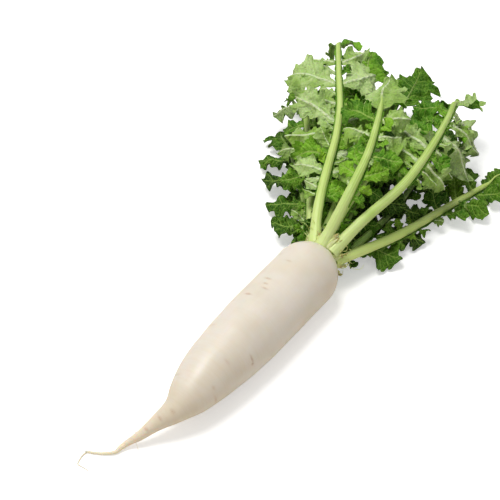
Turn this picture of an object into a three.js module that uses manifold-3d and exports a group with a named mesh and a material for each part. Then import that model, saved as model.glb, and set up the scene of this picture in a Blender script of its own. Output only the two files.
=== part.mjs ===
// Daikon radish pulled with its leaves on, lying on its side on a flat surface.
//
// Millimetres. +X runs along the root towards the leaves, +Y to its left, +Z up.
// The origin is under the body, on the narrow flat that it rests on.
//
// Nodes: the root, the crown (the short stem that the leaves grow from), and for
// each leaf its stalk and its blade. A blade is one thin sheet: a narrow wing that
// runs along the stalk's underside, toothed lobes that leave the wing on both
// sides with small leaflets between them, and one large end lobe.

import * as THREE from "three";
import { mergeGeometries, mergeVertices } from "three/addons/utils/BufferGeometryUtils.js";
import Module from "manifold-3d";

const wasm = await Module();
wasm.setup();

// ---- Driving dimensions ----------------------------------------------------

const BODY_RADIUS = 33;
const AXIS_HEIGHT = 32.2; // under the radius, so the body rests on a narrow flat
const HEAD_X = 53; // centre of the round head
const CROWN_RADIUS = 19;
const CROWN_CENTRE_Z = 36;
const CROWN_HEIGHT = 11;

// Stubs of old stalks around the crown's edge: where each one is, in degrees from the
// left, then its length and its radius.
const STUBS = [
  [208, 14, 1.8],
  [-13, 11, 1.8],
  [-58, 10, 2.2],
];
const GAP = 0.35; // between pieces that touch

// The root's axis and radius from the head to the tip of the tail: x, y, z, radius.
const ROOT_AXIS = [
  [HEAD_X, 0, AXIS_HEIGHT, BODY_RADIUS],
  [12, 0, AXIS_HEIGHT, 33],
  [-30, 0.3, AXIS_HEIGHT, 32.4],
  [-70, 1, 32, 30.2],
  [-104, 1.6, 31, 26],
  [-130, 1.6, 28.5, 19.5],
  [-147, 3.8, 25, 12.2],
  [-161, 10, 20, 8],
  [-170, 14.5, 15.5, 5.9],
  [-178.5, 19, 10.7, 4.5],
  [-187, 25.2, 5.8, 3.1],
  [-194.5, 28.4, 3.4, 2.4],
  [-200.5, 30, 2.3, 1.7],
  [-206.5, 37, 1.6, 1.25],
  [-211.5, 45.8, 1.4, 1.05],
  [-214, 52.5, 1.2, 0.9],
];
const ROOT_SIDES = 24;

// Stalk
const STALK_SIDES = 7;
const STALK_TIP_SHARE = 0.44; // its width at the tip over its width at the crown
const STALK_DEPTH = 0.84; // thickness over width
const WING_MARGIN = 0.7; // the wing is this much wider than the stalk on each side

// Blade
const SHEET_HALF_THICKNESS = 0.4;
const LOBE_BASE = 9; // length of rib that a lobe leaves from
const END_FROM = 0.96; // the end lobe starts at this share of the rib
const SMALL_BASE = 5; // length of rib that a small leaflet leaves from
const SMALL_INSET = 0.5; // how far its foot is sunk into the wing
const SMALL_CLEARANCE = 0.35; // its least distance to any other leaf
const SMALLEST = 12; // the shortest that is made
const CLEARANCE = 1.1; // a sheet that would sink lies this high over the surface
const SETTLE = 7; // the height below which it starts to flatten

// Leaves. rib: points from the crown to the foot of the end lobe, x, y, z.
// width: half the stalk's width at the crown. starts: the share of the rib where the
// lobes begin. lobes: pairs of them. reach: the longest lobe. end: the end lobe's length.
// left, right, tip: how the lobes rise, in degrees, at their foot and at their tip.
// shingle: the tilt that lets each lobe overlap the next. wild: how much the lobes
// differ, curl and twist. seed: which way each of them does. detail: steps along a lobe.
const LEAVES = [
  {
    name: "leaf_01", seed: 155, wild: 1.1,
    rib: [[86, -14, 30], [108, -25, 30], [171, -41, 17.5], [237, -54, 9.5], [276, -64, 8], [306, -73, 8]],
    width: 5.6, starts: 0.54, lobes: 3, reach: 36, end: 42, detail: 5, shingle: 18,
    left: [10, 30], right: [20, 70], tip: [10, 30],
  },
  {
    name: "leaf_02", seed: 272, wild: 1.3,
    rib: [[86, -11.5, 41], [123, -21, 59], [175, -34, 74], [216, -34, 80], [256, -29, 82], [300, -20, 80],
      [336, -9, 74]],
    width: 5.6, starts: 0.46, lobes: 5, reach: 57, end: 56, detail: 5, shingle: 24,
    left: [-2, -30], right: [-42, -88], tip: [-4, -40],
  },
  {
    name: "leaf_03", seed: 14, wild: 1.2,
    rib: [[86, -3.5, 35.5], [108, 0, 49], [133, 4, 55], [165, 6, 60], [194, 9, 63], [222, 13, 63],
      [248, 17, 60]],
    width: 3.5, starts: 0.44, lobes: 3, reach: 30, end: 50, detail: 4, shingle: 15,
    left: [0, -12], right: [-16, -40], tip: [12, -16],
  },
  {
    name: "leaf_04", seed: 91, wild: 0.9,
    rib: [[86, 5, 33], [105, 12, 39.5], [145, 23, 45], [200, 40, 47], [265, 66, 56], [334, 98, 64]],
    width: 3.8, starts: 0.42, lobes: 5, reach: 46, end: 62, detail: 4, shingle: 18,
    left: [10, -2], right: [0, -16], tip: [8, -6],
  },
  {
    name: "leaf_05", seed: 166, wild: 0.5,
    rib: [[87, -9.5, 21.5], [110, -12, 21], [160, -15, 17], [215, -14, 14], [270, -8, 13], [310, -2, 13]],
    width: 4.4, starts: 0.25, lobes: 5, reach: 48, end: 62, detail: 3, shingle: 8,
    left: [4, 2], right: [-8, -12], tip: [0, 6],
  },
  {
    name: "leaf_06", seed: 101, wild: 1.1,
    rib: [[86, 14.5, 34], [110, 30, 40], [160, 62, 42], [215, 100, 43], [262, 135, 42], [295, 158, 38]],
    width: 4.8, starts: 0.38, lobes: 4, reach: 42, end: 54, detail: 4, shingle: 22,
    left: [-12, -50], right: [-16, -14], tip: [-15, -40],
  },
  {
    name: "leaf_07", seed: 106, wild: 1.5,
    rib: [[86, -1, 46], [106, -3, 68], [132, -3, 90], [168, 3, 103], [208, 17, 106], [248, 34, 104]],
    width: 5.8, starts: 0.42, lobes: 4, reach: 39, end: 60, detail: 5, shingle: 26,
    left: [2, -30], right: [4, -34], tip: [12, -8],
  },
  {
    name: "leaf_08", seed: 18, wild: 1.3,
    rib: [[86, 9, 43], [105, 20, 55], [130, 31, 66], [164, 44, 76], [200, 58, 83], [242, 80, 86],
      [296, 115, 86], [364, 158, 79]],
    width: 5.4, starts: 0.36, lobes: 7, reach: 56, end: 46, detail: 5, shingle: 24,
    left: [6, -30], right: [-2, -12], tip: [-10, -50],
  },
  {
    name: "leaf_09", seed: 53, wild: 0.5,
    rib: [[87, 1.8, 18.5], [110, 10, 16], [160, 34, 11], [220, 68, 9], [280, 100, 8], [325, 124, 8]],
    width: 4.4, starts: 0.25, lobes: 5, reach: 48, end: 62, detail: 3, shingle: 8,
    left: [1, 3], right: [-4, -2], tip: [2, 6],
  },
  {
    name: "leaf_10", seed: 92, wild: 0.7,
    rib: [[86, -2, 27], [110, 2, 28], [160, 12, 27], [220, 26, 29], [285, 42, 37], [340, 52, 48]],
    width: 3.4, starts: 0.3, lobes: 5, reach: 48, end: 62, detail: 3, shingle: 10,
    left: [4, -8], right: [4, -8], tip: [8, -8],
  },
  {
    name: "leaf_11", seed: 99, wild: 0.7,
    rib: [[87, 11.8, 23], [108, 28, 23], [150, 62, 20], [195, 102, 18], [230, 136, 15]],
    width: 4.2, starts: 0.28, lobes: 4, reach: 38, end: 50, detail: 3, shingle: 10,
    left: [-4, -12], right: [5, 0], tip: [-4, -8],
  },
];

// ---- Small helpers -----------------------------------------------------------

const UP = new THREE.Vector3(0, 0, 1);
const vec = (x, y, z) => new THREE.Vector3(x, y, z);
const radians = THREE.MathUtils.degToRad;
const mix = THREE.MathUtils.lerp;

// A smooth curve through rows of numbers, at a share u of the way.
function through(rows, u) {
  const last = rows.length - 1;
  const place = Math.min(Math.max(u, 0), 1) * last;
  const i = Math.min(Math.floor(place), last - 1);
  const f = place - i;
  const before = rows[Math.max(i - 1, 0)];
  const after = rows[Math.min(i + 2, last)];
  return rows[i].map((b, k) => {
    const c = rows[i + 1][k];
    const bend = 2 * before[k] - 5 * b + 4 * c - after[k];
    return b + 0.5 * f * (c - before[k] + f * (bend + f * (3 * (b - c) + after[k] - before[k])));
  });
}

// A number from low to high that is always the same for the same seed, lobe and use.
function chance(seed, lobe, use, low, high) {
  const s = Math.sin(seed * 12.9898 + lobe * 78.233 + use * 37.719) * 4375.5453;
  return mix(low, high, s - Math.floor(s));
}

function solidOf(geometry) {
  const bare = new THREE.BufferGeometry();
  bare.setAttribute("position", geometry.getAttribute("position"));
  bare.setIndex(geometry.getIndex());
  const merged = mergeVertices(bare, 1e-3);
  return new wasm.Manifold(
    new wasm.Mesh({
      numProp: 3,
      vertProperties: merged.attributes.position.array,
      triVerts: new Uint32Array(merged.index.array),
    }),
  );
}

function geometryOf(solid) {
  const made = solid.getMesh();
  const positions = new Float32Array(made.numVert * 3);
  for (let i = 0; i < made.numVert; i++) {
    const start = i * made.numProp;
    positions.set(made.vertProperties.subarray(start, start + 3), i * 3);
  }
  const geometry = new THREE.BufferGeometry();
  geometry.setAttribute("position", new THREE.BufferAttribute(positions, 3));
  geometry.setIndex(new THREE.BufferAttribute(made.triVerts, 1));
  return geometry;
}

// The largest body of a solid: cutting can leave loose scraps.
function largest(solid) {
  return solid.decompose().reduce((a, b) => (a.volume() > b.volume() ? a : b));
}

// A closed body swept along a line. at(t, across, up) gives the point for a share t
// of the way and a place in the unit disc.
function sweep(sides, steps, at) {
  const geometry = new THREE.CylinderGeometry(1, 1, 1, sides, steps);
  const position = geometry.getAttribute("position");
  for (let i = 0; i < position.count; i++) {
    const p = at(0.5 - position.getY(i), position.getX(i), position.getZ(i));
    position.setXYZ(i, p.x, p.y, p.z);
  }
  return geometry;
}

// An open patch of surface. at(u, q) gives it for u from -1 to 1 across and q from
// 0 to 1 along.
function patch(across, along, at) {
  const geometry = new THREE.PlaneGeometry(2, 1, across, along);
  const position = geometry.getAttribute("position");
  for (let i = 0; i < position.count; i++) {
    const p = at(position.getX(i), 0.5 + position.getY(i));
    position.setXYZ(i, p.x, p.y, p.z);
  }
  geometry.deleteAttribute("uv");
  geometry.deleteAttribute("normal");
  return geometry;
}

// A closed thin sheet from joined patches. Both faces are split into the same triangles.
function thicken(patches, half) {
  const middle = mergeVertices(mergeGeometries(patches), 1e-3);
  const index = middle.getIndex().array;
  const faces = [];
  for (let i = 0; i < index.length; i += 3) {
    const [a, b, c] = index.slice(i, i + 3);
    if (a !== b && b !== c && a !== c) faces.push([a, b, c]);
  }
  middle.setIndex(faces.flat());
  middle.computeVertexNormals();
  const centre = middle.getAttribute("position").array;
  const normal = middle.getAttribute("normal").array;
  const count = centre.length / 3;
  const both = new Float32Array(count * 6);
  for (let i = 0; i < centre.length; i++) {
    both[i] = centre[i] + normal[i] * half;
    both[count * 3 + i] = centre[i] - normal[i] * half;
  }
  const closed = [];
  const edges = new Map();
  for (const [a, b, c] of faces) {
    closed.push(a, b, c, count + a, count + c, count + b);
    for (const [m, n] of [[a, b], [b, c], [c, a]]) {
      if (!edges.delete(`${n},${m}`)) edges.set(`${m},${n}`, [m, n]);
    }
  }
  for (const [m, n] of edges.values()) closed.push(n, m, count + m, n, count + m, count + n);
  const geometry = new THREE.BufferGeometry();
  geometry.setAttribute("position", new THREE.BufferAttribute(both, 3));
  geometry.setIndex(closed);
  return geometry;
}

function mesh(name, solid, material) {
  const made = new THREE.Mesh(geometryOf(solid), material);
  made.name = name;
  return made;
}

// ---- Root and crown ------------------------------------------------------------

const HEAD_STEPS = 5;
const TAPER_STEPS = 26;
const CROWN_X = HEAD_X + Math.sqrt(BODY_RADIUS ** 2 - CROWN_RADIUS ** 2);

// The root's rings: an arc over the head, then the axis to the tail.
function rootRings() {
  const rings = [];
  const rim = Math.asin(CROWN_RADIUS / BODY_RADIUS);
  for (let i = 0; i < HEAD_STEPS; i++) {
    const angle = mix(rim, Math.PI / 2, i / HEAD_STEPS);
    const x = HEAD_X + BODY_RADIUS * Math.cos(angle);
    const lift = (CROWN_CENTRE_Z - AXIS_HEIGHT) * Math.cos(angle) ** 2;
    rings.push([x, 0, AXIS_HEIGHT + lift, BODY_RADIUS * Math.sin(angle)]);
  }
  for (let i = 0; i <= TAPER_STEPS; i++) rings.push(through(ROOT_AXIS, i / TAPER_STEPS));
  return rings;
}

function rootSolid() {
  const rings = rootRings();
  const steps = rings.length - 1;
  const body = sweep(ROOT_SIDES, steps, (t, across, up) => {
    const i = Math.round(t * steps);
    const [x, y, z, radius] = rings[i];
    const ahead = vec(...rings[Math.min(i + 1, steps)].slice(0, 3));
    const behind = vec(...rings[Math.max(i - 1, 0)].slice(0, 3));
    const along = x > HEAD_X ? vec(-1, 0, 0) : ahead.sub(behind).normalize();
    const side = UP.clone().cross(along).normalize();
    const top = along.clone().cross(side);
    return vec(x, y, z).addScaledVector(side, across * radius).addScaledVector(top, up * radius);
  });
  const above = new THREE.BoxGeometry(600, 200, 200).translate(0, 0, 100);
  return solidOf(body).intersect(solidOf(above));
}

// The crown's dome, grown by a margin all over.
function crownSolid(margin) {
  const steps = 6;
  const start = CROWN_X + GAP - margin;
  return solidOf(
    sweep(22, steps, (t, across, up) => {
      const radius = (CROWN_RADIUS - 1.2) * Math.sqrt(1 - 0.72 * t * t) + margin;
      const x = start + (CROWN_HEIGHT + 2 * margin) * t * (1.25 - 0.25 * t);
      return vec(x, across * radius, CROWN_CENTRE_Z + up * radius);
    }),
  );
}

// The crown with its stubs, each one leaning out and forwards.
function crownWithStubs() {
  const stubs = STUBS.map(([degrees, length, radius]) => {
    const angle = radians(degrees);
    const outwards = vec(0, Math.cos(angle), Math.sin(angle));
    const aim = vec(1, 0, 0).addScaledVector(outwards, 0.9).normalize();
    const stub = new THREE.CylinderGeometry(radius * 0.75, radius, length + 4, 8);
    stub.applyQuaternion(new THREE.Quaternion().setFromUnitVectors(vec(0, 1, 0), aim));
    const foot = vec(CROWN_X + 5, 0, CROWN_CENTRE_Z).addScaledVector(outwards, 15.5);
    foot.addScaledVector(aim, length / 2 - 2);
    return solidOf(stub.translate(foot.x, foot.y, foot.z));
  });
  return wasm.Manifold.union([crownSolid(0), ...stubs]);
}

// ---- Leaves ----------------------------------------------------------------------

// The rib's place and axes at a share t: along it, to its left, and up from it.
function ribFrame(leaf, t) {
  const step = 0.004;
  const at = vec(...through(leaf.rib, t));
  const ahead = vec(...through(leaf.rib, Math.min(t + step, 1)));
  const behind = vec(...through(leaf.rib, Math.max(t - step, 0)));
  const along = ahead.sub(behind).normalize();
  const left = UP.clone().cross(along).normalize();
  return { at, along, left, up: along.clone().cross(left) };
}

function stalkHalfWidth(leaf, t) {
  return leaf.width * mix(1, STALK_TIP_SHARE, Math.pow(t, 1.2));
}

// Where the rib's lobes are, small leaflets first: the share t of each one's middle
// and the shares where its foot begins and ends.
function footholds(leaf) {
  const spacing = (END_FROM - 0.02 - leaf.starts) / leaf.lobes;
  const found = [];
  for (let pair = -1; pair < leaf.lobes; pair++) {
    const t = leaf.starts + spacing * (pair + 0.5);
    const foot = (LOBE_BASE / 2) * (pair < 0 ? 0.5 : 1);
    const ahead = vec(...through(leaf.rib, t + 0.01));
    const perMm = 0.01 / ahead.distanceTo(vec(...through(leaf.rib, t)));
    found.push({ pair, t, from: t - foot * perMm, to: t + foot * perMm, room: spacing / perMm });
  }
  return found;
}

// The wing's stations: three to a foothold, with one at each end.
function wingStations(leaf) {
  const feet = footholds(leaf);
  return [feet[0].from - 0.05, ...feet.flatMap((f) => [f.from, f.t, f.to]), END_FROM];
}

// The wing's middle surface at a share t; u is -1 on its left edge and 1 on its right.
function wingPoint(leaf, t, u, inset = 0) {
  const frame = ribFrame(leaf, t);
  const half = stalkHalfWidth(leaf, t) + WING_MARGIN - inset;
  return settle(frame.at.addScaledVector(frame.left, -u * half));
}

// Low sheets flatten towards the surface that the leaves lie on.
function settle(p) {
  const soft = SETTLE - CLEARANCE;
  if (p.z < SETTLE) p.z = CLEARANCE + soft * Math.exp((p.z - SETTLE) / soft);
  return p;
}

// A stalk is round on top and flat underneath, where the blade's wing follows it.
function stalkSolid(leaf) {
  const stations = wingStations(leaf);
  const rings = [0, 0.25, 0.5, 0.75].map((share) => share * stations[0]);
  rings.push(stations[0], ...footholds(leaf).flatMap((f) => [f.from, f.to]));
  rings.push(END_FROM, END_FROM + 0.012);
  const steps = rings.length - 1;
  return solidOf(
    sweep(STALK_SIDES, steps, (share, across, up) => {
      const t = rings[Math.round(share * steps)];
      const frame = ribFrame(leaf, t);
      const half = stalkHalfWidth(leaf, t) * (t > END_FROM ? 0.4 : 1);
      const depth = (Math.max(up, -0.45) + 0.45) * half * 1.25 * STALK_DEPTH;
      return settle(frame.at.addScaledVector(frame.left, across * half)).addScaledVector(
        frame.up,
        depth + GAP + SHEET_HALF_THICKNESS + 0.1,
      );
    }),
  );
}

// Half the width of a lobe at a share q of its length, as a share of its widest.
function lobeOutline(q, end) {
  const swell = Math.pow(Math.sin(Math.PI * Math.pow(0.05 + 0.9 * q, end ? 0.95 : 1.25)), 0.8);
  return end ? Math.max(swell, 0.3) : swell;
}

// Every lobe of a leaf: small leaflets, side lobes in pairs, and the end lobe.
function lobesOf(leaf) {
  const { seed, wild } = leaf;
  const lobes = [];
  for (const foot of footholds(leaf)) {
    for (const side of [1, -1]) {
      const key = foot.pair * 2 + (side > 0 ? 1 : 0);
      const grown = Math.sin(Math.PI * mix(0.22, 0.6, (foot.pair + 1) / leaf.lobes));
      const length = leaf.reach * (foot.pair < 0 ? 0.3 : grown) * chance(seed, key, 1, 0.8, 1.15);
      const [low, high] = side > 0 ? leaf.left : leaf.right;
      lobes.push({
        foot,
        side,
        heading: side * radians(mix(82, 64, foot.t) + wild * chance(seed, key, 2, -11, 11)),
        length,
        half: Math.min(length * 0.38, foot.room * 0.62),
        rise: [low + wild * chance(seed, key, 3, -8, 8), high + wild * chance(seed, key, 4, -25, 25)],
        roll: side * (wild * chance(seed, key, 5, -16, 16) - leaf.shingle),
        sweep: wild * chance(seed, key, 6, -12, 30),
        cup: wild * chance(seed, key, 7, -0.55, 0.25),
        wave: wild * chance(seed, key, 8, 1.5, 3.5),
        phase: chance(seed, key, 9, 0, 2),
        across: 2,
        along: foot.pair < 0 ? 2 : leaf.detail,
      });
    }
  }
  lobes.push({
    foot: null,
    side: 0,
    heading: radians(wild * chance(seed, 50, 2, -8, 8)),
    length: leaf.end,
    half: leaf.end * 0.42,
    rise: leaf.tip,
    roll: wild * chance(seed, 50, 5, -25, 25),
    sweep: wild * chance(seed, 50, 6, -12, 12),
    cup: wild * chance(seed, 50, 7, -0.2, 0.3),
    wave: wild * chance(seed, 50, 8, 2, 4),
    phase: chance(seed, 50, 9, 0, 2),
    across: 4,
    along: leaf.detail + 1,
  });
  return lobes;
}

// The small leaflets, one on each side between each two lobes. They stand up, droop and
// turn more than the lobes do.
function smallLeaflets(leaf) {
  const { seed } = leaf;
  const feet = footholds(leaf);
  const leaflets = [];
  for (let number = 0; number < leaf.lobes; number++) {
    const [before, after] = [feet[number], feet[number + 1]];
    const t = (before.t + after.t) / 2;
    const foot = ((SMALL_BASE / 2) * (after.t - before.t)) / before.room;
    for (const side of [1, -1]) {
      const key = 100 + number * 2 + (side > 0 ? 1 : 0);
      const length = 0.3 * leaf.reach * chance(seed, key, 1, 0.6, 1.5);
      const lift = chance(seed, key, 2, 0, 1) < 0.68 ? 1 : -1;
      leaflets.push({
        foot: { t, from: t - foot, to: t + foot, inset: SMALL_INSET },
        side,
        heading: side * radians(chance(seed, key, 3, 45, 100)),
        length,
        half: length * chance(seed, key, 4, 0.34, 0.48),
        rise: [lift * chance(seed, key, 5, 15, 50), lift * chance(seed, key, 6, -20, 75)],
        roll: chance(seed, key, 7, -45, 45),
        sweep: chance(seed, key, 8, -25, 50),
        cup: chance(seed, key, 9, -0.7, 0.7),
        wave: chance(seed, key, 10, 0.8, 2.2),
        phase: chance(seed, key, 11, 0, 2),
        along: 2,
      });
    }
  }
  return leaflets;
}

// A lobe's middle surface. Its line leaves the rib at heading, bends upwards by its
// rise and sideways by its sweep; its sheet rolls about that line, cups and waves.
function lobePoint(leaf, lobe, u, q) {
  const { foot, side } = lobe;
  if (q < 1e-6) {
    if (!foot) return wingPoint(leaf, END_FROM, Math.abs(u) < 0.3 ? 0 : Math.sign(u));
    const t = mix(foot.from, foot.to, (1 + u * side) / 2);
    return wingPoint(leaf, t, -side, foot.inset);
  }
  const frame = ribFrame(leaf, foot ? foot.t : END_FROM);
  const p = frame.at.clone();
  if (foot) p.addScaledVector(frame.left, side * (stalkHalfWidth(leaf, foot.t) + WING_MARGIN));
  const steps = 12;
  const axes = { out: vec(0, 0, 0), over: vec(0, 0, 0), across: vec(0, 0, 0) };
  for (let i = 0; i < steps; i++) {
    const share = (q * (i + 0.5)) / steps;
    lobeAxes(frame, lobe, share, axes);
    p.addScaledVector(axes.out, (lobe.length * q) / steps);
  }
  lobeAxes(frame, lobe, q, axes);
  const tooth = Math.round(q * lobe.along) % 2 ? 1.1 : 0.9;
  const edge = u * lobe.half * lobeOutline(q, !foot) * (Math.abs(u) > 0.9 ? tooth : 1);
  const curl = lobe.cup * u * u * lobe.half * q;
  const ripple = lobe.wave * Math.sin(Math.PI * (2.6 * q + lobe.phase + (u > 0 ? 0.5 : 0))) * u * u * q;
  p.addScaledVector(axes.across, edge).addScaledVector(axes.over, curl + ripple);
  return settle(p);
}

// A lobe's axes at a share q: out along it, over its sheet, and across it.
function lobeAxes(frame, lobe, q, axes) {
  const bend = radians(mix(lobe.rise[0], lobe.rise[1], q));
  const aim = lobe.heading - (lobe.side || 1) * radians(lobe.sweep) * q;
  const roll = radians(lobe.roll) * Math.min(1.6 * q, 1);
  const flat = frame.along.clone().multiplyScalar(Math.cos(aim)).addScaledVector(frame.left, Math.sin(aim));
  axes.out.copy(flat).multiplyScalar(Math.cos(bend)).addScaledVector(frame.up, Math.sin(bend));
  axes.across.copy(flat).cross(frame.up).applyAxisAngle(axes.out, roll);
  axes.over.copy(axes.across).cross(axes.out);
}

function bladeSolid(leaf) {
  const stations = wingStations(leaf);
  const wing = patch(2, stations.length - 1, (u, q) =>
    wingPoint(leaf, stations[Math.round(q * (stations.length - 1))], u),
  );
  const lobes = lobesOf(leaf).map((lobe) =>
    patch(lobe.across, lobe.along, (u, q) => lobePoint(leaf, lobe, u, q)),
  );
  return solidOf(thicken([wing, ...lobes], SHEET_HALF_THICKNESS));
}

// The blade with each small leaflet that has room: one that would touch a neighbour, or
// a lobe of its own leaf, didn't grow.
function withLeaflets(leaf, blade, neighbours) {
  let grown = blade;
  for (const leaflet of smallLeaflets(leaf).filter((small) => small.length > SMALLEST)) {
    const sheet = (half, from) =>
      solidOf(thicken([patch(2, 2, (u, q) => lobePoint(leaf, leaflet, u, mix(from, 1, q)))], half));
    const room = SHEET_HALF_THICKNESS + SMALL_CLEARANCE;
    const clear = neighbours.every((other) => other.intersect(sheet(room, 0)).isEmpty());
    if (clear && grown.intersect(sheet(room, 0.4)).isEmpty()) {
      grown = grown.add(sheet(SHEET_HALF_THICKNESS, 0));
    }
  }
  return grown;
}

// ---- Materials and the assembly ------------------------------------------------------

const skin = new THREE.MeshStandardMaterial({ color: "#efe5d4", roughness: 0.45 });
const crownGreen = new THREE.MeshStandardMaterial({ color: "#c6d58a", roughness: 0.5 });
const stalkGreen = new THREE.MeshStandardMaterial({ color: "#b4cc74", roughness: 0.45 });
const bladeGreen = new THREE.MeshStandardMaterial({ color: "#4f8a2e", roughness: 0.6 });

const root = rootSolid();
const socket = crownSolid(GAP);
const stalks = LEAVES.map((leaf) => largest(stalkSolid(leaf).subtract(socket)));
const blades = LEAVES.map(bladeSolid);
LEAVES.forEach((leaf, i) => {
  const neighbours = [root, socket, ...stalks, ...blades.filter((_, other) => other !== i)];
  blades[i] = withLeaflets(leaf, blades[i], neighbours);
});

const daikon = new THREE.Group();
daikon.add(mesh("root", root, skin));
daikon.add(mesh("crown", crownWithStubs(), crownGreen));
LEAVES.forEach((leaf, i) => {
  const group = new THREE.Group();
  group.add(mesh(`${leaf.name}_stalk`, stalks[i], stalkGreen));
  group.add(mesh(`${leaf.name}_blade`, blades[i], bladeGreen));
  daikon.add(group);
});

export default daikon;
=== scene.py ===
# %% [markdown]
# # A daikon radish with its leaves on
#
# The real thing is one long white root, a short green stem on its head, and a heap of
# leaves that grow from that stem. This notebook dresses the solid model of it: every
# piece follows the same curves as the solids, with many more points, and gets a skin
# made of shader nodes.
#
# The first cell loads the solids. They are the frame that everything fits around.

# %% Load the frame
import math
from functools import partial

import bpy
import numpy as np
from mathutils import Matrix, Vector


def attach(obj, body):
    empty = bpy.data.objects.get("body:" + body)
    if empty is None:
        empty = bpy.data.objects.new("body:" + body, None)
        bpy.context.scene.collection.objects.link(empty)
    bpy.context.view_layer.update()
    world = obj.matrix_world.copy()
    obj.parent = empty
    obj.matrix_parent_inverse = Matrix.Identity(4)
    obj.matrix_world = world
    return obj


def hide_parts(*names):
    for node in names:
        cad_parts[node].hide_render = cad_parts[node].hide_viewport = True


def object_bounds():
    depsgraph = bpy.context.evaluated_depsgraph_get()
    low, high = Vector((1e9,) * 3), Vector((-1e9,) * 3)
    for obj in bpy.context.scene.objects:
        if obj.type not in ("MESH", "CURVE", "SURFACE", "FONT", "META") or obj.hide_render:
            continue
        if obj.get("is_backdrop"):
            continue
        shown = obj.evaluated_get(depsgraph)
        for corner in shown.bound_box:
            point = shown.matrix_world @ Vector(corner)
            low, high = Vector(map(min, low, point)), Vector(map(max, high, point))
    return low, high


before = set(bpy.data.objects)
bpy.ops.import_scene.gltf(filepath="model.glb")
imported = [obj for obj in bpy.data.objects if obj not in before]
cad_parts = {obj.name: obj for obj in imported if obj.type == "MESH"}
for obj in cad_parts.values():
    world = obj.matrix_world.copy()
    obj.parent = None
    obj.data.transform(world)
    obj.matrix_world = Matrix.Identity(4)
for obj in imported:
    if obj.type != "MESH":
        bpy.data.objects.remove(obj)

solid_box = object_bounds()
BODY = "root"
MM = 0.001
print("solids:", len(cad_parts), "box", [round(x, 3) for corner in solid_box for x in corner])

# %% [markdown]
# ## The sizes
#
# A grower's sizes, in millimetres: +X runs along the root towards the leaves, +Z is up
# and the origin is on the surface under the body. They are the numbers that the solids
# were made from, so a finer piece lies where its solid lies. Meshes are made in metres,
# and the helper that makes them does the change of unit.

# %% Sizes of the root and the crown
BODY_RADIUS = 33
AXIS_HEIGHT = 32.2
HEAD_X = 53
CROWN_RADIUS = 19
CROWN_CENTRE_Z = 36
CROWN_HEIGHT = 11
CROWN_X = HEAD_X + math.sqrt(BODY_RADIUS**2 - CROWN_RADIUS**2)
GAP = 0.35

# Stubs of old stalks: degrees from the left, length, radius.
STUBS = [(208, 14, 1.8), (-13, 11, 1.8), (-58, 10, 2.2)]

# The root's axis and radius from the head to the tip of the tail: x, y, z, radius.
ROOT_AXIS = [
    (HEAD_X, 0, AXIS_HEIGHT, BODY_RADIUS),
    (12, 0, AXIS_HEIGHT, 33),
    (-30, 0.3, AXIS_HEIGHT, 32.4),
    (-70, 1, 32, 30.2),
    (-104, 1.6, 31, 26),
    (-130, 1.6, 28.5, 19.5),
    (-147, 3.8, 25, 12.2),
    (-161, 10, 20, 8),
    (-170, 14.5, 15.5, 5.9),
    (-178.5, 19, 10.7, 4.5),
    (-187, 25.2, 5.8, 3.1),
    (-194.5, 28.4, 3.4, 2.4),
    (-200.5, 30, 2.3, 1.7),
    (-206.5, 37, 1.6, 1.25),
    (-211.5, 45.8, 1.4, 1.05),
    (-214, 52.5, 1.2, 0.9),
]
print("the root runs from", ROOT_AXIS[-1][0], "to", round(CROWN_X), "mm")

# %% Sizes of the leaves
STALK_TIP_SHARE = 0.44
STALK_DEPTH = 0.84
WING_MARGIN = 0.7
SHEET_HALF_THICKNESS = 0.4
LOBE_BASE = 9
END_FROM = 0.96
CLEARANCE = 1.1
SETTLE = 7


def plan(name, seed, wild, rib, width, starts, lobes, reach, end, shingle, left, right, tip,
         frilled=0.42, pale=(0.12, 0.12), age_and_shade=0.2):
    """One leaf's numbers: its rib's points, half the stalk's width, the share of the rib where the
    lobes start, how many pairs, how long the side and end lobes are, and how they tilt. wild is how
    far they stray from that. Small leaflets start at frilled. pale is the share of its left and
    right lobes that turn their pale underside to the sky. An old leaf is darker than a young one,
    partly as painted shade, since the old leaves lie low in the heap."""
    return dict(
        name=name, seed=seed, wild=wild, rib=rib, width=width, starts=starts, lobes=lobes, reach=reach,
        end=end, shingle=shingle, left=left, right=right, tip=tip, frilled=frilled, pale=pale, age_and_shade=age_and_shade,
    )


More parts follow.
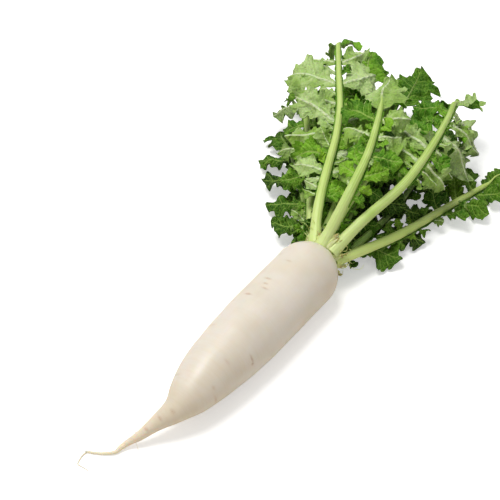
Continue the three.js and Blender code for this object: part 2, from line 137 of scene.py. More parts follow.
LEAVES = [
    plan(
        "leaf_01", 155, 1.1,
        [(86, -14, 30), (108, -25, 30), (171, -41, 17.5), (237, -54, 9.5), (276, -64, 8), (306, -73, 8)],
        5.6, 0.54, 3, 36, 42, 18, (10, 30), (20, 70), (10, 30), age_and_shade=0.0,
    ),
    plan(
        "leaf_02", 272, 1.3,
        [(86, -11.5, 41), (123, -21, 59), (175, -34, 74), (216, -34, 80), (256, -29, 82), (300, -20, 80),
         (336, -9, 74)],
        5.6, 0.46, 5, 57, 56, 24, (-2, -30), (-42, -88), (-4, -40), pale=(0.4, 0.9),
    ),
    plan(
        "leaf_03", 14, 1.2,
        [(86, -3.5, 35.5), (108, 0, 49), (133, 4, 55), (165, 6, 60), (194, 9, 63), (222, 13, 63),
         (248, 17, 60)],
        3.5, 0.44, 3, 30, 50, 15, (0, -12), (-16, -40), (12, -16), 0.2, age_and_shade=0.3,
    ),
    plan(
        "leaf_04", 91, 0.9,
        [(86, 5, 33), (105, 12, 39.5), (145, 23, 45), (200, 40, 47), (265, 66, 56), (334, 98, 64)],
        3.8, 0.42, 5, 46, 62, 18, (10, -2), (0, -16), (8, -6), 0.14, age_and_shade=0.5,
    ),
    plan(
        "leaf_05", 166, 0.5,
        [(87, -9.5, 21.5), (110, -12, 21), (160, -15, 17), (215, -14, 14), (270, -8, 13), (310, -2, 13)],
        4.4, 0.25, 5, 48, 62, 8, (4, 2), (-8, -12), (0, 6), 0.22, age_and_shade=0.9,
    ),
    plan(
        "leaf_06", 101, 1.1,
        [(86, 14.5, 34), (110, 30, 40), (160, 62, 42), (215, 100, 43), (262, 135, 42), (295, 158, 38)],
        4.8, 0.38, 4, 42, 54, 22, (-12, -50), (-16, -14), (-15, -40), 0.16, pale=(0.6, 0.5), age_and_shade=0.3,
    ),
    plan(
        "leaf_07", 106, 1.5,
        [(86, -1, 46), (106, -3, 68), (132, -3, 90), (168, 3, 103), (208, 17, 106), (248, 34, 104)],
        5.8, 0.42, 4, 39, 60, 26, (2, -30), (4, -34), (12, -8), pale=(0.3, 0.5),
    ),
    plan(
        "leaf_08", 18, 1.3,
        [(86, 9, 43), (105, 20, 55), (130, 31, 66), (164, 44, 76), (200, 58, 83), (242, 80, 86),
         (296, 115, 86), (364, 158, 79)],
        5.4, 0.36, 7, 56, 46, 24, (6, -30), (-2, -12), (-10, -50), 0.3, pale=(0.9, 0.5), age_and_shade=0.1,
    ),
    plan(
        "leaf_09", 53, 0.5,
        [(87, 1.8, 18.5), (110, 10, 16), (160, 34, 11), (220, 68, 9), (280, 100, 8), (325, 124, 8)],
        4.4, 0.25, 5, 48, 62, 8, (1, 3), (-4, -2), (2, 6), 0.1, age_and_shade=1.0,
    ),
    plan(
        "leaf_10", 92, 0.7,
        [(86, -2, 27), (110, 2, 28), (160, 12, 27), (220, 26, 29), (285, 42, 37), (340, 52, 48)],
        3.4, 0.3, 5, 48, 62, 10, (4, -8), (4, -8), (8, -8), 0.12, age_and_shade=0.8,
    ),
    plan(
        "leaf_11", 99, 0.7,
        [(87, 11.8, 23), (108, 28, 23), (150, 62, 20), (195, 102, 18), (230, 136, 15)],
        4.2, 0.28, 4, 38, 50, 10, (-4, -12), (5, 0), (-4, -8), 0.12, age_and_shade=0.8,
    ),
]
print("leaves:", len(LEAVES))

# %% [markdown]
# ## Curves, chance and meshes
#
# Everything here is a line with something wrapped round it, or a sheet spread out from
# it. It could be drawn with Blender's curve objects, but a leaf's lobes need their own
# twist and curl, so the points are worked out with arrays and handed to a mesh at once.

# %% Curves and chance
UP = np.array([0.0, 0.0, 1.0])


def mix(a, b, share):
    return a + (b - a) * share


def unit(vectors):
    return vectors / np.linalg.norm(vectors, axis=-1, keepdims=True)


def fade(low, high, value):
    """0 under low, 1 over high, and a smooth ease between them."""
    share = np.clip((value - low) / (high - low), 0, 1)
    return share * share * (3 - 2 * share)


def through(rows, shares):
    """A smooth curve through rows of numbers, at each share of the way."""
    rows = np.asarray(rows, float)
    last = len(rows) - 1
    place = np.clip(np.asarray(shares, float), 0, 1) * last
    i = np.minimum(place.astype(int), last - 1)
    f = (place - i)[..., None]
    before = rows[np.maximum(i - 1, 0)]
    b = rows[i]
    c = rows[i + 1]
    after = rows[np.minimum(i + 2, last)]
    bend = 2 * before - 5 * b + 4 * c - after
    return b + 0.5 * f * (c - before + f * (bend + f * (3 * (b - c) + after - before)))


def chance(seed, lobe, use, low, high):
    """A number from low to high that is always the same for the same seed, lobe and use."""
    s = math.sin(seed * 12.9898 + lobe * 78.233 + use * 37.719) * 4375.5453
    return mix(low, high, s - math.floor(s))


def run_along(points):
    """How far along a line each of its points is."""
    return np.concatenate([[0], np.cumsum(np.linalg.norm(np.diff(points, axis=0), axis=1))])


def settle(points):
    """Low sheets flatten towards the surface that the leaves lie on."""
    soft = SETTLE - CLEARANCE
    z = points[..., 2]
    eased = CLEARANCE + soft * np.exp((np.minimum(z, SETTLE) - SETTLE) / soft)
    points[..., 2] = np.where(z < SETTLE, eased, z)
    return points


print("half-way down the root:", through(ROOT_AXIS, 0.5).round(1))


# %% Tubes
def places_round(count):
    return np.arange(count) * 2 * math.pi / count


def tube(centre, side, top, angle, radius):
    """Rings round a line. radius has a row for each ring, of one number or one for each angle."""
    spokes = side[..., None, :] * np.cos(angle)[:, None] + top[..., None, :] * np.sin(angle)[:, None]
    return centre[:, None] + spokes * radius[..., None]


def wrap(rings):
    """Points and faces of a closed tube: rings is an array of (ring, place around, xyz)."""
    count, sides = rings.shape[:2]
    points = np.concatenate([rings.reshape(-1, 3), rings[0].mean(0)[None], rings[-1].mean(0)[None]])
    start = np.arange(count - 1)[:, None] * sides
    around = np.arange(sides)[None]
    following = (around + 1) % sides
    corners = (start + around, start + following, start + sides + following, start + sides + around)
    faces = np.stack(corners, -1).reshape(-1, 4).tolist()
    first = count * sides
    foot = (count - 1) * sides
    faces += [(first, int(b), int(a)) for a, b in zip(around[0], following[0])]
    faces += [(first + 1, foot + int(a), foot + int(b)) for a, b in zip(around[0], following[0])]
    corners = points[np.array([f[:3] for f in faces])]
    volume = np.einsum("ij,ij->i", corners[:, 0], np.cross(corners[:, 1], corners[:, 2])).sum()
    if volume < 0:
        faces = [tuple(reversed(f)) for f in faces]
    return points, faces


def skin_map_of(along, angle):
    """For each point of a wrapped tube: metres along it, the way round it, then its two ends."""
    rows = np.stack(np.broadcast_arrays(along, np.cos(angle), np.sin(angle)), -1).reshape(-1, 3)
    return np.concatenate([rows, [[0, 0, 0], [along.max(), 0, 0]]])


# %% Meshes
def make_piece(name, points, faces, material, stands_for=(), maps=None, crease=50):
    """A mesh object that rides with the radish. maps are the values that its material reads."""
    mesh = bpy.data.meshes.new(name)
    mesh.from_pydata((np.asarray(points) * MM).tolist(), [], faces)
    for label, values in (maps or {}).items():
        values = np.asarray(values, np.float32)
        kind, field = ("FLOAT_VECTOR", "vector") if values.ndim == 2 else ("FLOAT", "value")
        mesh.attributes.new(label, kind, "POINT").data.foreach_set(field, values.ravel())
    mesh.shade_smooth()
    mesh.set_sharp_from_angle(angle=math.radians(crease))
    mesh.materials.append(material)
    mesh.validate()
    piece = bpy.data.objects.new(name, mesh)
    bpy.context.scene.collection.objects.link(piece)
    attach(piece, BODY)
    if stands_for:
        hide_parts(*stands_for)
    print(f"{name}: {len(mesh.vertices)} points, {len(mesh.polygons)} faces")


def joined(parts):
    """Several (points, faces, maps) as one, each one's indices after those of the last."""
    points, faces, maps, start = [], [], {}, 0
    for some_points, some_faces, some_maps in parts:
        points.append(some_points)
        faces += [tuple(i + start for i in f) for f in some_faces]
        for label, values in some_maps.items():
            maps.setdefault(label, []).append(values)
        start += len(some_points)
    maps = {label: np.concatenate(values) for label, values in maps.items()}
    return np.concatenate(points), faces, maps


# %% [markdown]
# ## Shader helpers and shared effects
#
# A plant's skin is never one colour. Two effects appear on all of its parts, so each is
# a node group that is built once: **mottling**, soft patches of a second colour, and
# **fibres**, the fine lines that run the length of a root or a stalk. Each material
# places them with its own values. The Principled shader stays in the material, where
# its plain numbers are set.

# %% Shader helpers
def paint(code):
    """A hex colour as the linear colour that shaders use."""
    channels = [int(code[i : i + 2], 16) / 255 for i in (1, 3, 5)]
    return tuple(c / 12.92 if c <= 0.04045 else ((c + 0.055) / 1.055) ** 2.4 for c in channels) + (1.0,)


def fill(tree, node, inputs):
    """Give a node its inputs. Each is a number, a colour or another node's output."""
    for label, value in inputs.items():
        if isinstance(value, bpy.types.NodeSocket):
            tree.links.new(value, node.inputs[label])
        else:
            node.inputs[label].default_value = value


def add(tree, kind, inputs=None, **settings):
    """A new node with its settings and its inputs."""
    node = tree.nodes.new(kind)
    for label, value in settings.items():
        setattr(node, label, value)
    fill(tree, node, inputs or {})
    return node


def mesh_map(tree, name, socket="Fac"):
    """The values that the mesh carries under this name."""
    return add(tree, "ShaderNodeAttribute", attribute_name=name).outputs[socket]


def object_place(tree):
    return add(tree, "ShaderNodeTexCoord").outputs["Object"]


def axis_of(tree, vector, axis):
    return add(tree, "ShaderNodeSeparateXYZ", {0: vector}).outputs[axis]


def blend(tree, share, a, b):
    """Colour a, turning to colour b as share goes from 0 to 1."""
    return add(tree, "ShaderNodeMix", {0: share, 6: a, 7: b}, data_type="RGBA").outputs[2]


def patch(tree, colour, share, code):
    """The colour, turning to the paint of that code as share goes from 0 to 1."""
    return blend(tree, share, colour, paint(code))


def maths(tree, operation, a, b):
    return add(tree, "ShaderNodeMath", {0: a, 1: b}, operation=operation).outputs[0]


def times(tree, a, b):
    return maths(tree, "MULTIPLY", a, b)


def plus(tree, *values):
    total = values[0]
    for value in values[1:]:
        total = maths(tree, "ADD", total, value)
    return total


def between(tree, value, low, high, start=0.0, end=1.0):
    """start under low and end over high, with a smooth ease between them."""
    inputs = {"Value": value, "From Min": low, "From Max": high, "To Min": start, "To Max": end}
    return add(tree, "ShaderNodeMapRange", inputs, interpolation_type="SMOOTHSTEP").outputs[0]


def noise(tree, place, scale, detail=2.0, roughness=0.5):
    inputs = {"Vector": place, "Scale": scale, "Detail": detail, "Roughness": roughness}
    return add(tree, "ShaderNodeTexNoise", inputs).outputs[0]


def new_group(name, inputs, outputs):
    group = bpy.data.node_groups.new(name, "ShaderNodeTree")
    for label, kind in inputs:
        group.interface.new_socket(label, in_out="INPUT", socket_type="NodeSocket" + kind)
    for label, kind in outputs:
        group.interface.new_socket(label, in_out="OUTPUT", socket_type="NodeSocket" + kind)
    return group, group.nodes.new("NodeGroupInput").outputs, group.nodes.new("NodeGroupOutput").inputs


def bumped(tree, height, strength, distance):
    """Normals for a relief of that height; strength is from 0 to 1, distance in metres."""
    given = {"Height": height, "Strength": strength, "Distance": distance}
    return add(tree, "ShaderNodeBump", given).outputs[0]


def new_material(name):
    """A material with its node tree and its Principled shader."""
    material = bpy.data.materials.new(name)
    material.use_nodes = True
    tree = material.node_tree
    return material, tree, tree.nodes["Principled BSDF"]


print("mid grey, as shaders see it:", round(paint("#808080")[0], 3))


# %% The mottling group
def make_mottling():
    """Soft patches of a second colour, with finer flecks inside them."""
    group, given, gives = new_group(
        "mottling",
        [("Place", "Vector"), ("Size", "Float"), ("Main", "Color"), ("Patch", "Color")],
        [("Colour", "Color")],
    )
    broad = noise(group, given["Place"], given["Size"], 3.0, 0.55)
    patches = between(group, broad, 0.38, 0.66)
    group.links.new(blend(group, patches, given["Main"], given["Patch"]), gives["Colour"])
    return group


mottling = make_mottling()
print("shared effect:", mottling.name, "with", len(mottling.nodes), "nodes")


# %% The fibres group
def make_fibres():
    """Fine lines along a piece. Along holds the distance along it and the way round it."""
    group, given, gives = new_group(
        "fibres",
        [("Along", "Vector"), ("Stretch", "Vector")],
        [("Height", "Float"), ("Lines", "Float")],
    )
    stretched = add(
        group, "ShaderNodeVectorMath", {0: given["Along"], 1: given["Stretch"]}, operation="MULTIPLY"
    ).outputs[0]
    height = noise(group, stretched, 1.0, 4.0, 0.6)
    group.links.new(height, gives["Height"])
    group.links.new(between(group, height, 0.45, 0.62), gives["Lines"])
    return group


fibres = make_fibres()
print("shared effect:", fibres.name, "with", len(fibres.nodes), "nodes")


# %% Placing the shared effects
def mottled(tree, place, size, main, patches):
    """The colour that the mottling group puts out for these two paints."""
    given = {"Place": place, "Size": size, "Main": paint(main), "Patch": paint(patches)}
    return add(tree, "ShaderNodeGroup", given, node_tree=mottling).outputs["Colour"]


def fibres_along(tree, skin_map, stretch_along, stretch_round):
    """The Height and Lines that the fibres group puts out for that many lines a metre."""
    given = {"Along": skin_map, "Stretch": (stretch_along, stretch_round, stretch_round)}
    return add(tree, "ShaderNodeGroup", given, node_tree=fibres).outputs


# %% [markdown]
# ## The root's skin
#
# A washed daikon is creamy white and faintly see-through, so light goes a little way
# into it: that is what subsurface scattering does. It yellows towards the tail and
# turns slightly green at the shoulder, where the sun reached it. Brown scars show where
# side roots grew. An image could hold them, but it would have to be fitted to the root.
# Instead their places come with the mesh, in a map called marks, so dent and colour agree.

# %% Root skin material
def make_root_skin():
    material, tree, shader = new_material("daikon_skin")
    place = object_place(tree)
    skin_map = mesh_map(tree, "skin_map", "Vector")
    marks = mesh_map(tree, "marks")
    along = axis_of(tree, skin_map, "X")
    colour = mottled(tree, place, 17.0, "#ddd6cb", "#d6cdbd")
    tail = between(tree, along, 0.17, 0.32, 0.0, 0.75)
    colour = patch(tree, colour, tail, "#e7dbc0")
    patchy = noise(tree, place, 40.0, 3.0)
    shoulder = times(tree, between(tree, along, 0.022, 0.0, 0.0, 0.6), patchy)
    colour = patch(tree, colour, shoulder, "#ccd38e")
    lines = fibres_along(tree, skin_map, 30.0, 14.0)
    colour = patch(tree, colour, times(tree, lines["Lines"], 0.07), "#d9c9aa")
    rings = fibres_along(tree, skin_map, 420.0, 1.1)
    ring_share = times(tree, rings["Lines"], between(tree, along, 0.06, 0.25, 0.03, 0.12))
    colour = patch(tree, colour, ring_share, "#cdb98f")
    ragged = between(tree, noise(tree, place, 900.0, 2.0), 0.3, 0.6, 0.45, 1.0)
    colour = patch(tree, colour, times(tree, marks, ragged), "#a8713a")
    pores = noise(tree, place, 1400.0, 2.0)
    height = plus(
        tree, times(tree, lines["Height"], 0.3), times(tree, pores, 0.25), times(tree, rings["Height"], 0.3)
    )
    fill(tree, shader, {
        "Base Color": colour,
        "Roughness": between(tree, patchy, 0.3, 0.7, 0.36, 0.52),
        "Normal": bumped(tree, height, 0.35, 0.0005),
        "Subsurface Weight": 0.6,
        "Subsurface Radius": (1.0, 0.6, 0.35),
        "Subsurface Scale": 0.008,
    })
    return material


root_skin = make_root_skin()
print("material:", root_skin.name)

# %% [markdown]
# ## The skins of the crown and the stalks
#
# A stalk is pale and watery, nearly white where it leaves the crown and greener towards
# its leaf, with fine grooves all the way. Old stalks are darker and the youngest paler:
# that is painted shade on the old stalks low in the heap and painted light on the young
# stalk that lies under the others, and the mesh carries how old the leaf is in a map.
# The crown is the same tissue, packed tight and yellower, with brown dry edges where old
# leaves came off. One material with a switch could serve both, but two short ones are
# easier to read and to tune.

# %% Stalk and crown materials
def make_stalk_skin():
    material, tree, shader = new_material("stalk_skin")
    place = object_place(tree)
    skin_map = mesh_map(tree, "skin_map", "Vector")
    along = axis_of(tree, skin_map, "X")
    colour = mottled(tree, place, 26.0, "#b5cd74", "#a4c25a")
    colour = patch(tree, colour, between(tree, along, 0.07, 0.0, 0.0, 0.7), "#d0dd96")
    colour = patch(tree, colour, between(tree, along, 0.15, 0.32, 0.0, 0.4), "#9cbe54")
    aged_and_shaded = mesh_map(tree, "aged_and_shaded")
    # Painted shade: old stalks, low in the heap, turn darker.
    colour = patch(tree, colour, between(tree, aged_and_shaded, 0.2, 1.0, 0.0, 0.8), "#5f8a2a")
    # Painted light: the youngest stalks, which lie under the others, turn paler.
    colour = patch(tree, colour, between(tree, aged_and_shaded, 0.2, 0.0, 0.0, 0.6), "#cde27c")
    lines = fibres_along(tree, skin_map, 9.0, 3.4)
    colour = patch(tree, colour, times(tree, lines["Lines"], 0.5), "#cddc92")
    height = plus(tree, lines["Height"], times(tree, noise(tree, place, 900.0), 0.3))
    fill(tree, shader, {
        "Base Color": colour,
        "Roughness": between(tree, lines["Height"], 0.3, 0.7, 0.38, 0.56),
        "Normal": bumped(tree, height, 0.7, 0.0008),
        "Subsurface Weight": 0.25,
        "Subsurface Radius": (0.7, 1.0, 0.3),
        "Subsurface Scale": 0.003,
    })
    return material


def make_crown_skin():
    material, tree, shader = new_material("crown_skin")
    place = object_place(tree)
    skin_map = mesh_map(tree, "skin_map", "Vector")
    dry = mesh_map(tree, "marks")
    colour = mottled(tree, place, 110.0, "#c9d486", "#b4c65e")
    lines = fibres_along(tree, skin_map, 60.0, 5.0)
    colour = patch(tree, colour, times(tree, lines["Lines"], 0.5), "#e6e8bf")
    ragged = between(tree, noise(tree, place, 500.0, 3.0), 0.35, 0.6)
    colour = patch(tree, colour, times(tree, dry, ragged), "#a98d4f")
    fill(tree, shader, {
        "Base Color": colour,
        "Roughness": between(tree, lines["Height"], 0.3, 0.7, 0.42, 0.62),
        "Normal": bumped(tree, lines["Height"], 0.6, 0.0008),
        "Subsurface Weight": 0.2,
        "Subsurface Radius": (0.8, 1.0, 0.4),
        "Subsurface Scale": 0.002,
    })
    return material


stalk_skin = make_stalk_skin()
crown_skin = make_crown_skin()
print("materials:", stalk_skin.name, crown_skin.name)

# %% [markdown]
# ## The blade
#
# A radish leaf is rough, deep green above and paler, greyer below, with pale veins: a
# thick midrib in each lobe, side veins that run out to the teeth, and a fine net between
# them. An image could hold all that, but the veins must bend with every lobe, so the
# mesh carries a map of its own: how far a point is from the midrib, counted in midrib
# widths, how many side veins lie behind it, and how light its lobe is. Old leaves are
# darker, partly as painted shade, and the blade also darkens towards the floor: that is
# painted shade for the low layers of the heap.

# %% Blade material
def make_blade_skin():
    material, tree, shader = new_material("leaf_blade")
    place = object_place(tree)
    leaf_map = mesh_map(tree, "leaf_map", "Vector")
    face = mesh_map(tree, "upper_face")
    from_midrib, vein_count, tone = (axis_of(tree, leaf_map, axis) for axis in "XYZ")

    upper = mottled(tree, place, 30.0, "#40770f", "#77ad2a")
    upper = patch(tree, upper, between(tree, tone, 0.45, 1.0), "#8fbc2c")
    # Painted shade in part: a low tone, which old leaves get, turns the upper side dark, for the old leaves
    # low in the heap.
    upper = patch(tree, upper, between(tree, tone, 0.1, -0.8), "#23440b")
    under = mottled(tree, place, 34.0, "#84a746", "#b2cb85")
    under = patch(tree, under, between(tree, tone, 0.3, 1.0, 0.0, 0.6), "#c6d8a6")
    # The same partly painted shade on the pale underside.
    under = patch(tree, under, between(tree, tone, 0.1, -0.8, 0.0, 0.8), "#4a6f2a")
    colour = blend(tree, face, under, upper)
    # Painted shade: the blade turns darker towards the floor, for the shade deep in the heap.
    painted_shade_height = axis_of(tree, place, "Z")
    colour = patch(tree, colour, between(tree, painted_shade_height, 0.075, 0.01, 0.0, 0.55), "#1d3a05")

    to_vein = maths(tree, "PINGPONG", vein_count, 0.5)
    outwards = between(tree, from_midrib, 1.0, 22.0, 1.0, 0.35)
    side_vein = times(tree, between(tree, to_vein, 0.015, 0.07, 1.0, 0.0), outwards)
    midrib = between(tree, from_midrib, 0.55, 1.25, 1.0, 0.0)
    net = add(
        tree, "ShaderNodeTexVoronoi", {"Vector": place, "Scale": 300.0}, feature="DISTANCE_TO_EDGE"
    ).outputs["Distance"]
    net_line = between(tree, net, 0.0, 0.12, 1.0, 0.0)
    colour = patch(tree, colour, times(tree, net_line, 0.22), "#a6c95c")
    colour = patch(tree, colour, times(tree, side_vein, 0.5), "#a8ca5c")
    pale_rib = blend(tree, face, paint("#d2e0b4"), paint("#9dbc5c"))
    colour = blend(tree, times(tree, midrib, 0.85), colour, pale_rib)

    rough = noise(tree, place, 700.0, 3.0)
    wrinkles = noise(tree, place, 190.0, 4.0)
    quilt = plus(tree, between(tree, net, 0.0, 0.5), between(tree, to_vein, 0.0, 0.35, 0.0, 1.5))
    puffed = times(tree, quilt, between(tree, face, 0.0, 1.0, -0.7, 0.9))
    folds = noise(tree, place, 65.0, 1.0)
    height = plus(
        tree, times(tree, puffed, 0.6), times(tree, rough, 0.3), times(tree, wrinkles, 2.2),
        times(tree, folds, 4.5),
    )
    fill(tree, shader, {
        "Base Color": colour,
        "Roughness": between(tree, rough, 0.3, 0.7, 0.44, 0.64),
        "Normal": bumped(tree, height, 1.0, 0.0014),
        "Subsurface Weight": 0.18,
        "Subsurface Radius": (0.5, 1.0, 0.2),
        "Subsurface Scale": 0.0015,
        "Specular IOR Level": 0.15,
    })
    return material


blade_skin = make_blade_skin()
print("material:", blade_skin.name)

# %% [markdown]
# ## The root
#
# The root is a line with a radius: a round head, a long even body and a thin tail that
# curls. A subdivided cylinder would do, but scars and rings need points where they are,
# so the skin gets a ring of points about every millimetre. Its relief is shallow: long
# slow waves, small folds round the crown, faint rings, and a dent at each scar.

# %% Where the root's rings are
RING_STEP = 0.95
ROOT_SIDES = 168
HEAD_RINGS = 34


def root_line():
    """Centre, radius and direction of each ring, from the crown's edge to the tail."""
    rim = math.asin(CROWN_RADIUS / BODY_RADIUS)
    angle = np.linspace(rim, math.pi / 2, HEAD_RINGS, endpoint=False)
    lift = (CROWN_CENTRE_Z - AXIS_HEIGHT) * np.cos(angle) ** 2
    head = np.stack(
        [HEAD_X + BODY_RADIUS * np.cos(angle), 0 * angle, AXIS_HEIGHT + lift, BODY_RADIUS * np.sin(angle)], 1
    )
    fine = np.linspace(0, 1, 3000)
    length = run_along(through(ROOT_AXIS, fine)[:, :3])
    shares = np.interp(np.arange(0, length[-1], RING_STEP), length, fine)
    rows = np.concatenate([head, through(ROOT_AXIS, shares)])
    along = unit(np.gradient(rows[:, :3], axis=0))
    along[: HEAD_RINGS + 1] = (-1, 0, 0)
    return rows[:, :3], rows[:, 3], along


print("rings on the root:", len(root_line()[1]))


# %% The scars
# Scars of side roots and scratches: x, degrees round from the right side, width round
# the root, length along it, and how dark it is.
SCARS = [
    (33, 99, 3.0, 1.0, 0.35),
    (3, 105, 3.5, 1.0, 0.5),
    (-4, 101, 2.5, 0.9, 0.55),
    (-10, 95, 3.0, 1.0, 0.5),
    (-23, 113, 3.5, 1.1, 0.7),
    (-72, 22, 5.0, 0.7, 0.7),
    (-73, 13, 1.3, 1.2, 0.9),
    (-94, 52, 3.5, 1.2, 0.25),
    (-118, 33, 2.0, 1.5, 0.25),
    (-150, 57, 3.0, 1.2, 0.35),
    (-160, 65, 3.0, 1.1, 0.4),
    (-172, 66, 2.6, 1.0, 0.45),
]
SCATTERED_SCARS = 30
SCAR_SEED = 41


def all_scars():
    """The listed scars and a scatter of faint ones, in two rows as side roots grow."""
    scars = list(SCARS)
    for k in range(SCATTERED_SCARS):
        draw = partial(chance, SCAR_SEED, k)
        row = 165 if k % 2 else 330
        scars.append((
            draw(1, -170, 62), row + draw(2, -34, 34), draw(3, 2.0, 5.5), draw(4, 0.8, 1.5), draw(5, 0.1, 0.5)
        ))
    return scars


print("scars:", len(all_scars()))


# %% The root's relief
def root_relief(x, length, angle, radius):
    """How far the skin stands out, and how scarred it is. x, length and radius have a row for
    each ring, angle a column for each place around."""
    size = radius / BODY_RADIUS
    waves = 0.42 * np.sin(length / 31 + 1.3 * np.cos(angle)) * np.cos(angle - 0.8)
    waves += 0.3 * np.sin(length / 17 + 2.1 * np.sin(angle) + 1.0) * np.cos(2 * angle + 0.4)
    waves += 0.12 * np.sin(length / 6.3 + 2.4 * np.cos(angle + 0.9) + np.sin(length / 23))
    rings = 0.06 * np.maximum(np.sin(length / 1.9 + 1.6 * np.sin(length / 13)), 0) ** 3
    rings = rings * fade(0.1, 0.9, np.sin(length / 27 + angle + 2 * np.sin(angle)))
    creases = 0.35 * np.cos(11 * angle + 3 * np.sin(2 * angle)) * np.exp(-length / 5)
    marks = 0.0
    for place, degrees, width, height, dark in all_scars():
        round_by = (angle - math.radians(degrees) + math.pi) % (2 * math.pi) - math.pi
        spot = np.exp(-((x - place) / height) ** 2 - (round_by * radius / width) ** 2)
        marks = np.maximum(marks, dark * spot)
    return waves * size - rings + creases - 0.5 * marks, marks


# %% Build the root
def build_root():
    centre, radius, along = root_line()
    side = unit(np.cross(UP, along))
    angle = places_round(ROOT_SIDES)
    length = run_along(centre)
    length[:HEAD_RINGS] = np.arange(HEAD_RINGS) * length[HEAD_RINGS] / HEAD_RINGS
    relief, marks = root_relief(centre[:, :1], length[:, None], angle[None], radius[:, None])
    rings = tube(centre, side, np.cross(along, side), angle, radius[:, None] + relief)
    rings[..., 2] = np.maximum(rings[..., 2], 0.0)
    points, faces = wrap(rings)
    maps = {
        "skin_map": skin_map_of(length[:, None] * MM, angle),
        "marks": np.concatenate([marks.ravel(), [0.0, 0.3]]),
    }
    make_piece("radish_root", points, faces, root_skin, ["root"], maps)


build_root()

# %% [markdown]
# ## Whiskers
#
# Fine side roots are left near the tail, where the washing missed them. Each is a thin
# tube along a few points, no thicker than a thread, that springs from the skin and comes
# to lie on the floor. Curve objects with a bevel would do, but plain tubes join into one
# mesh, so all the whiskers are one piece.

# %% Build the whiskers
# Each whisker's points from its foot, x, y, z, and its radius at the foot.
WHISKERS = [
    [(-213.5, 51, 1.2), (-218.7, 51.8, 0.7), (-224, 50.8, 0.6), (-228, 49, 0.5), (-228, 44, 0.5),
     (-228, 37, 0.5), 0.75],
    [(-184, 20, 7.5), (-188, 14, 3.0), (-197, 9, 0.6), (-206, 12, 0.5), 0.26],
    [(-172, 19, 14), (-180, 28, 8), (-186, 37, 2.0), (-193, 44, 0.5), (-196, 52, 0.5), 0.3],
]
TAIL_PLACE = (0.31, 0.0, 0.0)
NEVER_ALONG = (0.31, 0.17, 0.94)


def thread(points, foot_radius, tip_share=0.35, rings=40, sides=8):
    """A tube along points that thins from its foot to its tip."""
    shares = np.linspace(0, 1, rings)
    line = through(points, shares)
    along = unit(np.gradient(line, axis=0))
    side = unit(np.cross(along, NEVER_ALONG))
    radius = foot_radius * mix(1, tip_share, shares)
    return wrap(tube(line, side, np.cross(along, side), places_round(sides), radius[:, None]))


def build_whiskers():
    parts = []
    for *points, radius in WHISKERS:
        made, faces = thread(points, radius)
        maps = {"skin_map": np.tile(TAIL_PLACE, (len(made), 1)), "marks": np.full(len(made), 0.12)}
        parts.append((made, faces, maps))
    points, faces, maps = joined(parts)
    make_piece("root_whiskers", points, faces, root_skin, maps=maps)


build_whiskers()

# %% [markdown]
# ## The crown
#
# The stem on the head is a low dome, ridged by the scars of leaves that came off, with
# the stubs of three of them left. It could be sculpted, but one formula gives both the
# ridges and the dry brown marks on them, so the two always agree.

# %% Build the crown
CROWN_RINGS = 60
CROWN_SIDES = 120
CROWN_LENGTH = 0.02
STUB_SIDES = 28
STUB_LENGTH = 0.014


def crown_dome():
    share = np.linspace(0, 1, CROWN_RINGS)[:, None]
    angle = places_round(CROWN_SIDES)[None]
    radius = (CROWN_RADIUS - 1.2) * np.sqrt(1 - 0.72 * share**2)
    scars = np.sin(5 * angle + 9 * share) * np.sin(16 * share + 2 * np.sin(3 * angle))
    radius = radius + 0.55 * scars + 0.25 * np.cos(17 * angle + 4 * share)
    x = CROWN_X + GAP + CROWN_HEIGHT * share * (1.25 - 0.25 * share) + 0 * angle
    rings = np.stack([x, np.cos(angle) * radius, CROWN_CENTRE_Z + np.sin(angle) * radius], -1)
    points, faces = wrap(rings)
    dry = np.concatenate([0.7 * fade(0.35, 0.9, scars).ravel(), [0, 0.4]])
    return points, faces, {"skin_map": skin_map_of(share * CROWN_LENGTH, angle), "marks": dry}


def stub(degrees, length, radius):
    """What is left of an old stalk: ribbed, thinner at its end, and hollowed there."""
    turn = math.radians(degrees)
    outwards = np.array([0, math.cos(turn), math.sin(turn)])
    aim = unit(np.array([1.0, 0, 0]) + 0.9 * outwards)
    foot = np.array([CROWN_X + 5, 0, CROWN_CENTRE_Z]) + 15.5 * outwards - 4 * aim
    side = unit(np.cross(UP, aim))
    shares = np.concatenate([np.linspace(0, 1, 24), [0.98, 0.9]])
    taper = np.concatenate([np.linspace(1, 0.75, 24), [0.6, 0.3]])
    angle = places_round(STUB_SIDES)
    ribs = 1 + 0.07 * np.cos(7 * angle)
    ragged = 0.06 * np.sin(3 * angle + degrees) + 0.04 * np.sin(5 * angle)
    centre = foot + aim * (length + 4) * shares[:, None]
    rings = tube(centre, side, np.cross(aim, side), angle, radius * taper[:, None] * ribs)
    rings = rings + (ragged * length * shares[:, None] ** 4)[..., None] * aim
    points, faces = wrap(rings)
    dry = np.concatenate([np.repeat(fade(0.75, 1.0, shares), STUB_SIDES), [0, 1]])
    return points, faces, {"skin_map": skin_map_of(shares[:, None] * STUB_LENGTH, angle), "marks": dry}


def build_crown():
    points, faces, maps = joined([crown_dome()] + [stub(*numbers) for numbers in STUBS])
    make_piece("radish_crown", points, faces, crown_skin, ["crown"], maps)


build_crown()

# %% [markdown]
# ## Scraps of sheath
#
# Every leaf that falls leaves a strip of its sheath on the crown's edge, torn, thin and
# dry at the tip, and a few threads that curl. A strip is a flattened tube bent round the
# crown, so it has both sides and a rim. A thread is a tube on a winding line.

# %% One scrap of sheath
SCRAPS = 13
THREADS = 12
SCRAP_SEED = 61
THREAD_SEED = 62
SCRAP_FOOT = CROWN_RADIUS - 1.0


def crown_directions(number, seed, count):
    """Outwards and around at one of count places, from the crown's left to under its right."""
    turn = math.radians(30 + 260 * (number + chance(seed, number, 1, -0.4, 0.4)) / count)
    return np.array([0, math.cos(turn), math.sin(turn)]), np.array([0, -math.sin(turn), math.cos(turn)])


